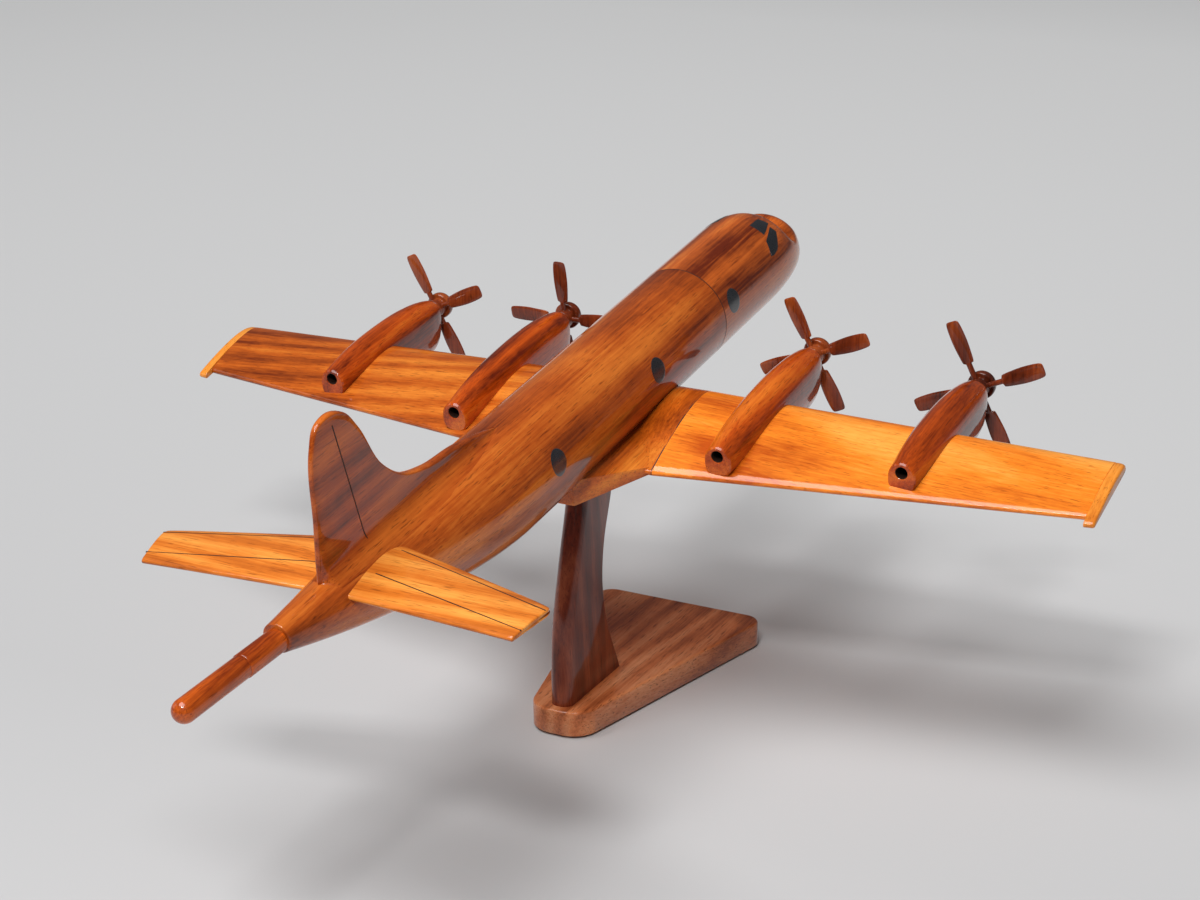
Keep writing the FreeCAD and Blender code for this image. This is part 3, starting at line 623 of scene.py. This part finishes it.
# ---- nacelles ---------------------------------------------------------------
NACELLES = {
    # X, station and height of the exhaust, length, droop in degrees, blade reach, phase
    "port_outer": (133.8, 187.1, -14.4, 86.0, 3.0, 27.6, -25.4),
    "port_inner": (61.4, 203.4, -11.6, 96.0, 0.0, 27.6, -1.2),
    "starboard_inner": (-61.4, 203.4, -11.6, 96.0, 0.0, 27.6, -23.4),
    "starboard_outer": (-133.8, 187.1, -14.4, 86.0, 3.0, 31.0, -24.1),
}
HUB_GAP, HUB_REAR, HUB_FRONT, HUB_R = 0.35, 3.8, 1.8, 4.4
BORE_DROP, BORE_DEPTH, BORE_R = 0.9, 11.0, 2.6


def on_nacelle(points, name):
    """Nacelle axes to row metres: droop about the exhaust, then move to its place."""
    x0, y0, z0, _, droop, _, _ = NACELLES[name]
    c, s = math.cos(math.radians(droop)), math.sin(math.radians(droop))
    x, y, z = points[..., 0], points[..., 1], points[..., 2]
    return on_stand(np.stack([x + x0, y * c - z * s + y0, y * s + z * c + z0], -1))


def nacelle_grid(length):
    """Rings from the bottom of the exhaust bore, out over the flat rear face, forward
    along the body and round its nose.  Each ring is half round above and a squarer
    half below."""
    share = np.array([0.0, 0.2, 0.5, 0.75, 0.90, 0.955, 0.985, 1.0])
    half_w = np.array([5.8, 7.4, 8.4, 8.2, 7.3, 6.5, 5.7, 4.9])
    rise = np.array([3.2, 6.6, 8.8, 8.8, 7.3, 6.3, 5.5, 4.7])
    drop = np.array([9.6, 10.2, 14.6, 18.6, 19.0, 18.4, 16.8, 13.6])
    square = np.array([3.0, 2.9, 2.6, 2.3, 2.3, 2.25, 2.2, 2.2])
    middle = np.array([-3.2, -1.6, 0.0, 0.0, 0.0, 0.0, 0.0, 0.0])
    body = np.concatenate([np.linspace(0.008, 0.9, 60), np.linspace(0.9, 1.0, 16)[1:]])
    cols = 72
    turn = np.linspace(0, 2 * np.pi, cols, endpoint=False)
    c, s = np.cos(turn)[None], np.sin(turn)[None]

    def ring(at, forward, inset):
        w, up, dn, sq, mid = [smooth(at, share, v)[:, None]
                              for v in (half_w, rise, drop, square, middle)]
        power = 2 / sq
        x = np.where(s >= 0, w * c, w * np.sign(c) * np.abs(c) ** power)
        z = mid + np.where(s >= 0, (up - mid) * s, -(dn + mid) * np.abs(s) ** power)
        shrink = 1 - np.asarray(inset)[:, None] / 7.0
        z = mid + (z - mid) * shrink
        return np.stack([x * shrink, -np.asarray(forward)[:, None] + 0 * x, z], -1)

    skin = ring(body, body * length, np.zeros(len(body)))
    bend = np.linspace(0, np.pi / 2, 6)[:-1]
    rim = ring(np.full(5, 0.008), 0.008 * length * np.sin(bend), 0.7 * (1 - np.sin(bend)))
    bore = [(-BORE_DEPTH, BORE_R), (-0.5, BORE_R), (-0.12, 2.66), (0.0, 2.8)]
    bore = lathe(bore, cols) - (0, 0, BORE_DROP)
    hole, edge = bore[-1], rim[0]
    t = np.linspace(0, 1, 5)[1:-1, None, None]
    face = hole * (1 - t) + edge * t
    tip = ring(np.full(4, 1.0), np.full(4, length), np.array([0.9, 2.0, 4.0, 6.5]))
    return np.concatenate([bore, face, rim, skin, tip])


def bore_shade_grid():
    """Cup just inside an exhaust bore, coloured near-black: painted shade in the hole."""
    return lathe([(-10.95, 2.62), (-0.3, 2.62), (-0.3, 2.5), (-10.7, 2.5)], 48) - (0, 0, BORE_DROP)


# ---- propellers -------------------------------------------------------------
BLADE_LENGTH, BLADE_HALF, BLADE_THICK, PITCH = 19.6, 3.6, 1.5, 5.0


def blade_grid(reach, turn_degrees, plane):
    """Round shank, squared shoulder, paddle and rounded square tip, as squarish ellipses
    up the blade; pitched about its own length, then turned about the hub's axis."""
    root = reach - BLADE_LENGTH
    up = np.concatenate([[HUB_R - 1.2, root - 0.4, root - 0.05], root + BLADE_LENGTH * np.array(
        [0.006, 0.02, 0.05, 0.12, 0.22, 0.35, 0.5, 0.62, 0.74, 0.84, 0.92, 0.965, 0.985, 0.996])])
    wide = np.concatenate([[1.2, 1.2, 1.25], BLADE_HALF * np.array(
        [0.50, 0.70, 0.76, 0.82, 0.88, 0.95, 1.0, 1.0, 0.98, 0.94, 0.88, 0.80, 0.70, 0.52])])
    thin = np.concatenate([[1.15, 1.15, 1.05], BLADE_THICK / 2 * np.array(
        [1.2, 1.15, 1.1, 1.05, 1.0, 0.95, 0.9, 0.85, 0.8, 0.74, 0.68, 0.62, 0.5, 0.3])])
    turn = np.linspace(0, 2 * np.pi, 28, endpoint=False)
    c, s = np.cos(turn), np.sin(turn)
    x = wide[:, None] * np.sign(c) * np.abs(c) ** 0.85
    y = thin[:, None] * np.sign(s) * np.abs(s) ** 0.95
    z = up[:, None] + 0 * x
    twist = math.radians(PITCH)
    x, y = x * np.cos(twist) + y * np.sin(twist), -x * np.sin(twist) + y * np.cos(twist)
    y = y + plane
    a = math.radians(turn_degrees)
    return np.stack([x * math.cos(a) + z * math.sin(a), y, -x * math.sin(a) + z * math.cos(a)], -1)


def make_propeller(name):
    """Blades, turned hub and domed spinner in front of a nacelle."""
    _, _, _, length, _, reach, phase = NACELLES[name]
    plane = -(length + HUB_GAP + HUB_REAR)
    blades = tubes("propeller_%s_paddles" % name,
                   [on_nacelle(blade_grid(reach, -(phase + 90 * k), plane), name) for k in range(4)])
    rear, front = plane + HUB_REAR, plane - HUB_FRONT
    boss = [(rear, 3.6), (rear - 0.1, 4.15), (rear - 0.4, HUB_R), (rear - 1.2, HUB_R),
            (rear - 1.5, 4.15), (rear - 1.8, 4.25), (front + 0.3, HUB_R), (front, HUB_R)]
    hub = tube("propeller_%s_boss" % name, on_nacelle(lathe(boss, 48), name))
    bend = np.linspace(0, np.pi / 2, 12)[:-1]
    dome = [(front - 0.02, 5.0), (front - 0.12, 5.7), (front - 0.5, 6.05), (front - 1.0, 6.1)]
    dome += [(front - 2.2 - 3.78 * math.sin(b), 2.4 + 3.7 * math.cos(b)) for b in bend]
    dome += [(front - 6.0, 1.6)]
    spinner = tube("propeller_%s_dome" % name, on_nacelle(lathe(dome, 48), name))
    return blades, hub, spinner


# ---- stand ------------------------------------------------------------------
BASE_TOP = 12.0
BASE_HALF_LENGTH, BASE_FRONT_HALF, BASE_REAR_HALF = 61.75, 42.0, 12.6
BASE_FRONT_CORNER, BASE_REAR_CORNER, BASE_ROUND = 7.0, 12.0, 1.2
COLUMN_HALF, COLUMN_REAR_ROUND, COLUMN_FRONT_ROUND = 5.0, 4.3, 1.0
COLUMN_REAR = np.array([(57.8, 12.0), (56.8, 42.0), (49.2, 75.0), (42.4, 98.0), (36.4, 124.0)])
COLUMN_FRONT = np.array([(11.0, 12.0), (23.2, 42.0), (25.4, 60.0), (23.6, 75.0), (16.6, 94.5),
                         (7.8, 124.0)])


def make_column():
    """Rounded rectangles stacked up the leaning column: front and rear come from two
    smooth side curves, four quarter circles make the corners, and the top is cut to the
    tilt of the belly."""
    share = np.concatenate([np.linspace(0, 0.992, 60), [1.0]])
    z = BASE_TOP + share * (SEAT_HEIGHT - BASE_TOP)
    rear = smooth(z, COLUMN_REAR[:, 1], COLUMN_REAR[:, 0])
    front = smooth(z, COLUMN_FRONT[:, 1], COLUMN_FRONT[:, 0])
    turn = np.linspace(0, np.pi / 2, 9)
    corners = []
    for side, at_rear, start in ((1, True, 0.0), (-1, True, 0.5), (-1, False, 1.0), (1, False, 1.5)):
        r = COLUMN_REAR_ROUND if at_rear else COLUMN_FRONT_ROUND
        middle = rear - r if at_rear else front + r
        angle = turn + start * np.pi
        x = np.broadcast_to(side * (COLUMN_HALF - r) + r * np.cos(angle), (len(z), len(turn)))
        corners.append(np.stack([x, middle[:, None] + r * np.sin(angle)], -1))
    plan = np.concatenate(corners, 1)
    top = SEAT_HEIGHT - (plan[..., 1] - SEAT_OFFSET) * math.tan(NOSE_UP)
    height = BASE_TOP + share[:, None] * (top - BASE_TOP)
    return tube("leaning_column", np.concatenate([plan, height[..., None]], -1) * MM)


def rounded_outline(inset):
    """Tapered board seen from above, with a circular arc at each corner: the arc's middle
    lies on the line that halves the corner."""
    wide, narrow = BASE_FRONT_HALF - inset, BASE_REAR_HALF - inset
    rear = BASE_HALF_LENGTH - inset
    corners = np.array([(wide, -rear), (narrow, rear), (-narrow, rear), (-wide, -rear)])
    near, far = BASE_FRONT_CORNER - inset / 2, BASE_REAR_CORNER - inset / 2
    out = []
    for i, r in enumerate((near, far, far, near)):
        here = corners[i]
        u, v = corners[i - 1] - here, corners[(i + 1) % 4] - here
        u, v = u / np.linalg.norm(u), v / np.linalg.norm(v)
        half = math.acos(np.clip(u @ v, -1, 1)) / 2
        reach = r / math.tan(half)
        middle = here + (u + v) / np.linalg.norm(u + v) * r / math.sin(half)
        start, end = here + u * reach - middle, here + v * reach - middle
        first, last = math.atan2(start[1], start[0]), math.atan2(end[1], end[0])
        sweep = (last - first + np.pi) % (2 * np.pi) - np.pi
        angle = first + sweep * np.linspace(0, 1, 14)
        out.append(middle + r * np.stack([np.cos(angle), np.sin(angle)], -1))
    return np.concatenate(out)


def make_base():
    """Board with a quarter round along its upper edge, as outlines stacked from below."""
    rows = [(0.8, 0.6), (0.85, 0.25), (1.2, 0.0), (BASE_TOP - BASE_ROUND, 0.0)]
    rows += [(BASE_TOP - BASE_ROUND * (1 - math.sin(b)), BASE_ROUND * (1 - math.cos(b)))
             for b in np.linspace(0, np.pi / 2, 8)[1:]]
    rows += [(BASE_TOP, 2.0), (BASE_TOP, 6.0)]
    rings = []
    for z, inset in rows:
        ring = rounded_outline(inset)
        rings.append(np.concatenate([ring, np.full((len(ring), 1), z)], 1))
    return tube("base_board", np.array(rings) * MM)


# ---- wing centre ------------------------------------------------------------
def softened(node, name, width):
    """Copy of a machined node with its points merged and its edges slightly rounded."""
    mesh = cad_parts[node].data.copy()
    piece = new_object(name, mesh)
    bm = bmesh.new()
    bm.from_mesh(mesh)
    bmesh.ops.remove_doubles(bm, verts=bm.verts, dist=2e-6)
    bmesh.ops.dissolve_limit(bm, angle_limit=math.radians(2.0), verts=bm.verts, edges=bm.edges)
    bmesh.ops.triangulate(bm, faces=bm.faces)
    bm.to_mesh(mesh)
    bm.free()
    mesh.materials.clear()
    smooth_shade(mesh, 30)
    mod = piece.modifiers.new("edge", "BEVEL")
    mod.width, mod.segments, mod.limit_method = width * MM, 2, "ANGLE"
    mod.angle_limit = math.radians(40)
    return piece


# ---- finishes ---------------------------------------------------------------
def srgb(colour):
    """Screen colour in 0 to 255 to linear."""
    v = np.array(colour) / 255.0
    lin = np.where(v <= 0.04045, v / 12.92, ((v + 0.055) / 1.055) ** 2.4)
    return (*lin.tolist(), 1.0)


class Nodes:
    """Small helper that adds and links shader nodes."""
    def __init__(self, name):
        self.material = bpy.data.materials.new(name)
        self.material.use_nodes = True
        self.tree = self.material.node_tree
        self.bsdf = self.tree.nodes["Principled BSDF"]
        self.where = self.add("TexCoord").outputs["Object"]

    def add(self, kind, inputs=None, **settings):
        node = self.tree.nodes.new("ShaderNode" + kind)
        for key, value in settings.items():
            setattr(node, key, value)
        for key, value in (inputs or {}).items():
            if isinstance(value, bpy.types.NodeSocket):
                self.tree.links.new(value, node.inputs[key])
            else:
                node.inputs[key].default_value = value
        return node

    def noise(self, where, scale, detail=2.0, roughness=0.5, **more):
        inputs = {"Vector": where, "Scale": scale, "Detail": detail, "Roughness": roughness}
        return self.add("TexNoise", {**inputs, **more}).outputs["Fac"]

    def stretch(self, where, along, across=1):
        factors = (along, across, across)
        return self.add("VectorMath", {0: where, 1: factors}, operation="MULTIPLY").outputs[0]

    def bump(self, height, strength, distance, socket="Normal"):
        inputs = {"Height": height, "Strength": strength, "Distance": distance}
        self.link(self.add("Bump", inputs).outputs[0], socket)

    def math(self, operation, a, b=0.0, c=0.0):
        return self.add("Math", {0: a, 1: b, 2: c}, operation=operation).outputs[0]

    def ramp(self, value, stops):
        node = self.add("ValToRGB", {"Fac": value})
        elements = node.color_ramp.elements
        while len(elements) < len(stops):
            elements.new(0.5)
        for element, (at, colour) in zip(elements, stops):
            element.position, element.color = at, colour
        return node.outputs["Color"]

    def mix(self, factor, a, b):
        node = self.add("Mix", data_type="RGBA")
        for socket, value in ((node.inputs[0], factor), (node.inputs[6], a), (node.inputs[7], b)):
            if isinstance(value, bpy.types.NodeSocket):
                self.tree.links.new(value, socket)
            else:
                socket.default_value = value
        return node.outputs[2]

    def set(self, **values):
        for key, value in values.items():
            self.bsdf.inputs[key.replace("_", " ")].default_value = value

    def link(self, socket, name):
        self.tree.links.new(socket, self.bsdf.inputs[name])


GRAIN_TURN = {"along": (NOSE_UP, 0, math.radians(90)), "span": (NOSE_UP, 0, 0),
              "upright": (math.radians(5), math.radians(90), 0), "level": (0, 0, math.radians(90))}
PITH = (0.075, 0.045)   # how far off the pith line of every log lies


def varnished_wood(name, tones, grain="along", shift=(0, 0, 0), rings=520.0, figure=1.0,
                   streak=0.5, pore=0.5):
    """Sawn wood under clear gloss: growth rings are distances from a far pith line, bent by
    long soft noise; fine fibres and short pores run with the grain; broad patches shift the
    colour."""
    n = Nodes(name)
    placed = n.add("Mapping", {"Vector": n.where, "Location": shift,
                               "Rotation": GRAIN_TURN[grain]}).outputs[0]
    warp = n.noise(n.stretch(placed, 0.16), 16.0, 3.0)
    parts = n.add("SeparateXYZ", {0: placed}).outputs
    off_y, off_z = n.math("ADD", parts["Y"], PITH[0]), n.math("ADD", parts["Z"], PITH[1])
    squares = n.math("ADD", n.math("MULTIPLY", off_y, off_y), n.math("MULTIPLY", off_z, off_z))
    bent = n.math("ADD", n.math("MULTIPLY", n.math("SQRT", squares), rings),
                  n.math("MULTIPLY", warp, 26.0 * figure))
    wave = n.math("MULTIPLY_ADD", n.math("SINE", bent), 0.5, 0.5)
    fibre = n.noise(n.stretch(placed, 0.035), 900.0, 2.0, 0.6)
    patch = n.noise(n.stretch(placed, 0.4), 22.0, 4.0, 0.55)
    ripple = n.noise(n.stretch(placed, 1.6, 0.5), 150.0)
    tone = n.math("MULTIPLY", wave, 0.50 * streak)
    for part, weight in ((patch, 1.15), (fibre, 0.50), (ripple, 0.10)):
        tone = n.math("MULTIPLY_ADD", part, weight, tone)
    tone = n.math("SUBTRACT", tone, 0.42 + 0.25 * streak)
    dark, mid, light = [srgb(t) for t in tones]
    colour = n.ramp(tone, [(0.16, dark), (0.48, mid), (0.84, light)])
    pores = n.noise(n.stretch(placed, 0.07), 2100.0, 1.0)
    pores = n.add("MapRange", {"Value": pores, "From Min": 0.60, "From Max": 0.72}).outputs[0]
    deep = tuple(c * 0.35 for c in dark[:3]) + (1.0,)
    n.link(n.mix(n.math("MULTIPLY", pores, pore), colour, deep), "Base Color")
    n.link(n.math("MULTIPLY_ADD", fibre, 0.2, 0.3), "Roughness")
    n.bump(n.math("MULTIPLY_ADD", pores, -0.12, n.math("MULTIPLY", fibre, 0.25)), 0.25, 0.0002)
    n.bump(n.noise(placed, 70.0), 0.12, 0.0012, "Coat Normal")
    n.set(Coat_Weight=1.0, Coat_Roughness=0.04, Coat_IOR=1.42, IOR=1.45, Specular_IOR_Level=0.12)
    return n.material


def dark_gloss(name, colour, shift):
    """Near-black stained inlay under varnish, with faint cloudiness and fine dust."""
    n = Nodes(name)
    placed = n.add("Mapping", {"Vector": n.where, "Location": shift}).outputs[0]
    full = srgb(colour)
    dim = tuple(c * 0.6 for c in full[:3]) + (1,)
    n.link(n.ramp(n.noise(placed, 160.0, 4.0), [(0.3, dim), (0.75, full)]), "Base Color")
    speck = n.noise(placed, 1800.0)
    n.link(n.math("MULTIPLY_ADD", speck, 0.2, 0.2), "Roughness")
    n.bump(speck, 0.1, 0.0001)
    n.set(Coat_Weight=0.6, Coat_Roughness=0.08)
    return n.material


def plain_wood(name, dark, light):
    """Bare turned dowel: fine fibres and soft colour patches."""
    n = Nodes(name)
    fibre = n.noise(n.where, 700.0, 3.0)
    tone = n.math("MULTIPLY_ADD", fibre, 0.6, n.math("MULTIPLY", n.noise(n.where, 90.0), 0.5))
    n.link(n.ramp(tone, [(0.35, srgb(dark)), (0.75, srgb(light))]), "Base Color")
    n.link(n.math("MULTIPLY_ADD", fibre, 0.2, 0.5), "Roughness")
    n.bump(fibre, 0.3, 0.0001)
    return n.material


def drawn_steel(name):
    """Drawn wire and turned screw steel: fine scratches and a little tarnish."""
    n = Nodes(name)
    scratch = n.noise(n.where, 2600.0, 3.0)
    dull, bright = (0.30, 0.30, 0.31, 1), (0.55, 0.55, 0.57, 1)
    n.link(n.ramp(n.noise(n.where, 240.0, 3.0), [(0.3, dull), (0.7, bright)]), "Base Color")
    n.link(n.math("MULTIPLY_ADD", scratch, 0.3, 0.2), "Roughness")
    n.bump(scratch, 0.2, 0.00005)
    n.set(Metallic=1.0)
    return n.material


def pressed_felt(name):
    """Short felt: tangled fibres as two layers of noise, with sheen."""
    n = Nodes(name)
    tangle = n.noise(n.where, 1500.0, 4.0, Distortion=1.2)
    tone = n.math("MULTIPLY_ADD", tangle, 0.7, n.math("MULTIPLY", n.noise(n.where, 60.0), 0.3))
    shade, nap = (0.006, 0.012, 0.008, 1), (0.03, 0.05, 0.035, 1)
    n.link(n.ramp(tone, [(0.3, shade), (0.7, nap)]), "Base Color")
    n.bump(tangle, 0.8, 0.0003)
    n.set(Roughness=0.95, Sheen_Weight=0.4)
    return n.material


def dark_line_and_shade_finish(name):
    """Near-black brown with fine grit, for the dark glue and scored lines, and as painted shade inside
    the exhaust bores.
    """
    n = Nodes(name)
    grit = n.noise(n.where, 900.0, 3.0)
    deep, brown = (0.010, 0.003, 0.001, 1), (0.035, 0.010, 0.004, 1)
    n.link(n.ramp(grit, [(0.3, deep), (0.7, brown)]), "Base Color")
    n.link(n.math("MULTIPLY_ADD", grit, 0.3, 0.45), "Roughness")
    return n.material


# dark, middle and pale grain of each wood, as screen colours
NOSE_TONES = (100, 32, 6), (194, 92, 30), (234, 138, 60)
BODY_TONES = (88, 26, 4), (174, 78, 20), (222, 124, 44)
FIN_TONES = (84, 26, 4), (164, 70, 16), (210, 108, 34)
BOOM_TONES = (126, 44, 6), (206, 92, 22), (238, 136, 48)
CENTRE_TONES = (120, 44, 6), (198, 92, 18), (236, 140, 46)
PORT_WING_TONES = (112, 40, 6), (188, 88, 20), (230, 134, 46)
STARBOARD_WING_TONES = (186, 78, 8), (244, 134, 34), (255, 172, 74)
CAP_TONES = (196, 100, 24), (236, 144, 50), (250, 176, 84)
TAILPLANE_TONES = (150, 66, 14), (214, 116, 36), (246, 164, 72)
NACELLE_TONES = (100, 28, 2), (186, 74, 12), (228, 120, 34)
PROPELLER_TONES = (58, 18, 6), (122, 48, 20), (176, 86, 36)
COLUMN_TONES = (52, 14, 6), (112, 42, 20), (156, 76, 44)
BASE_TONES = (124, 54, 24), (198, 112, 64), (228, 156, 108)

nose_wood = varnished_wood("nose_wood", NOSE_TONES, "along", (0.31, 0.02, 0.04), figure=1.6)
body_wood = varnished_wood("body_wood", BODY_TONES, figure=1.2)
fin_wood = varnished_wood("fin_wood", FIN_TONES, "along", (0.1, 0.05, 0.02))
boom_wood = varnished_wood("boom_wood", BOOM_TONES, "along", (0.2, 0.01, 0.03))
centre_wood = varnished_wood("wing_centre_wood", CENTRE_TONES, "along", (0.5, 0.03, 0.0))
wing_port_wood = varnished_wood("wing_port_wood", PORT_WING_TONES, "span", (0.2, 0.4, 0.1), rings=700)
wing_star_wood = varnished_wood("wing_starboard_wood", STARBOARD_WING_TONES, "span", rings=700)
cap_wood = varnished_wood("cap_wood", CAP_TONES, "along", (0.7, 0.1, 0.0), figure=0.4, streak=0.3)
tail_wood = varnished_wood("tailplane_wood", TAILPLANE_TONES, "span", (0.4, 0.2, 0.3), rings=800)
nacelle_woods = {name: varnished_wood("nacelle_wood_" + name, NACELLE_TONES, "along",
                                      (0.3 * k, 0.07 * k, 0.02))
                 for k, name in enumerate(NACELLES)}
prop_wood = varnished_wood("propeller_wood", PROPELLER_TONES, "upright", (0.0, 0.2, 0.1), streak=0.4)
column_wood = varnished_wood("column_wood", COLUMN_TONES, "upright", (0.1, 0.1, 0.1))
base_wood = varnished_wood("base_wood", BASE_TONES, "level", (0.4, 0.2, 0.0), figure=1.4, pore=0.7)
window_black = dark_gloss("window_black", (44, 47, 52), (0.1, 0.2, 0.3))
pane_black = dark_gloss("pane_black", (40, 43, 48), (0.5, 0.1, 0.2))
dowel_wood = plain_wood("dowel_wood", (150, 110, 66), (206, 170, 120))
pin_steel = drawn_steel("pin_steel")
felt = pressed_felt("base_felt_cloth")
# near-black for glue and scored lines, and painted shade inside the exhaust bores
dark_line_and_bore_shade = dark_line_and_shade_finish("dark_line_and_bore_shade")


def dress(piece, material, slot, body, *nodes):
    """Finish, body and the machined nodes that a new piece stands for; the slot argument is not used.
    """
    piece.data.materials.clear()
    piece.data.materials.append(material)
    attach(piece, body)
    if nodes:
        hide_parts(*nodes)


# ---- building ---------------------------------------------------------------
dress(make_nose(), nose_wood, "body_wood", "airframe", "fuselage_nose")
dress(make_body(), body_wood, "body_wood", "airframe", "fuselage_main")
dress(make_seam_ring(), dark_line_and_bore_shade, "dark_inlay", "airframe")
dress(make_panes(), pane_black, "dark_inlay", "airframe", "cockpit_panes")
for side, sign in (("port", 1), ("starboard", -1)):
    dress(make_windows(sign, "windows_" + side), window_black, "dark_inlay", "airframe",
          "cabin_windows_" + side)
    dress(tube("wing_plank_" + side, on_stand(to_side(wing_grid(), sign))),
          wing_port_wood if sign > 0 else wing_star_wood, "wing_wood", "airframe", "wing_" + side)
    dress(tube("wing_joint_line_" + side, on_stand(to_side(wing_joint_grid(), sign))), dark_line_and_bore_shade,
          "dark_inlay", "airframe")
    dress(tube("wing_end_cap_" + side, on_stand(to_side(wing_cap_grid(), sign))), cap_wood, "cap_wood",
          "airframe", "wing_tip_" + side)
    dress(tube("tail_plank_" + side, on_stand(to_side(tailplane_grid(), sign))), tail_wood, "wing_wood",
          "airframe", "tailplane_" + side)
    dress(make_tailplane_scores(sign, "tailplane_lines_" + side), dark_line_and_bore_shade, "dark_inlay", "airframe")
dress(make_fin(), fin_wood, "body_wood", "airframe", "fin")
dress(make_fin_score(), dark_line_and_bore_shade, "dark_inlay", "airframe")
boom_first, boom_end = make_boom()
dress(boom_first, boom_wood, "body_wood", "airframe", "tail_boom_root")
dress(boom_end, boom_wood, "body_wood", "airframe", "tail_boom_tip")
for name, values in NACELLES.items():
    dress(tube("engine_" + name, on_nacelle(nacelle_grid(values[3]), name)), nacelle_woods[name],
          "nacelle_wood", "airframe", "nacelle_" + name)
    # near-black cup inside each exhaust bore: painted shade
    dress(tube("exhaust_bore_shade_" + name, on_nacelle(bore_shade_grid(), name)), dark_line_and_bore_shade,
          "dark_inlay", "airframe")
    for piece, part in zip(make_propeller(name), ("blades", "hub", "spinner")):
        dress(piece, prop_wood, "propeller_wood", "propeller_" + name, "propeller_%s_%s" % (name, part))
dress(make_column(), column_wood, "stand_wood", "stand", "stand_column")
dress(make_base(), base_wood, "stand_wood", "stand", "base_plate")
dress(softened("wing_centre", "wing_centre_block", 0.45), centre_wood, "wing_wood", "airframe",
      "wing_centre")

bare = {"base_felt": felt, "column_screws": pin_steel, "stand_pegs": dowel_wood}
bare.update({"propeller_%s_pin" % name: pin_steel for name in NACELLES})
bare.update({node: dowel_wood for node in ("nose_dowel", "wing_dowels", "fin_dowels",
                                           "tailplane_dowels", "boom_dowel")})
for node, material in bare.items():
    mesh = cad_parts[node].data
    mesh.materials.clear()
    mesh.materials.append(material)


# ---- room, light and camera -------------------------------------------------
def make_floor():
    """Pale paper, coloured much lighter away from the camera: painted light that makes up for the lamps
    falling off over the far floor.
    """
    r, z = 9.0, -0.0002
    mesh = bpy.data.meshes.new("studio_floor")
    mesh.from_pydata([(-r, -r, z), (r, -r, z), (r, r, z), (-r, r, z)], [], [(0, 1, 2, 3)])
    floor = new_object("studio_floor", mesh)
    n = Nodes("studio_floor")
    depth = n.add("SeparateXYZ", {0: n.where}).outputs["Y"]
    # painted light: the floor colour brightens from near to far, in place of light the lamps don't give
    # the far floor
    painted_far_light = n.add("MapRange", {"Value": depth, "From Min": 0.1, "From Max": -1.4}).outputs[0]
    tone = n.math("MULTIPLY_ADD", n.noise(n.where, 1.2), 0.04, n.math("MULTIPLY", painted_far_light, 0.96))
    near, far = (0.52, 0.52, 0.525, 1), (0.95, 0.95, 0.95, 1)
    n.link(n.ramp(tone, [(0.0, near), (1.0, far)]), "Base Color")
    n.set(Roughness=0.6)
    mesh.materials.append(n.material)


def soft_light(name, place, target, size, power):
    """Rectangular lamp that faces a point."""
    data = bpy.data.lights.new(name, "AREA")
    data.shape, data.size, data.size_y, data.energy = "RECTANGLE", size[0], size[1], power
    lamp = new_object(name, data)
    lamp.location = place
    lamp.rotation_euler = (Vector(target) - Vector(place)).to_track_quat("-Z", "Y").to_euler()


make_floor()
soft_light("overhead_aft", (0.4, 1.1, 3.4), (0, 0.0, 0.1), (2.6, 2.0), 120.0)
soft_light("small_box", (-0.30, 1.15, 1.35), (0, 0.0, 0.12), (0.40, 0.16), 12.0)
soft_light("left_fill", (1.9, 0.6, 0.9), (0, 0.0, 0.12), (0.8, 1.2), 3.0)

world = bpy.data.worlds.new("studio")
bpy.context.scene.world = world
world.use_nodes = True
world.node_tree.nodes["Background"].inputs["Color"].default_value = (0.86, 0.88, 0.90, 1)
world.node_tree.nodes["Background"].inputs["Strength"].default_value = 0.09

camera_data = bpy.data.cameras.new("camera")
camera_data.lens = 75.0
camera_data.sensor_width = 36.0
camera_data.shift_x = 0.0086
camera_data.clip_start, camera_data.clip_end = 0.05, 50.0
camera = new_object("camera", camera_data)
camera.location = (-0.4593, 0.8830, 0.4835)
camera.rotation_euler = [math.radians(a) for a in (69.308, 0.943, -152.160)]
bpy.context.scene.camera = camera
bpy.context.scene.view_settings.view_transform = "Standard"
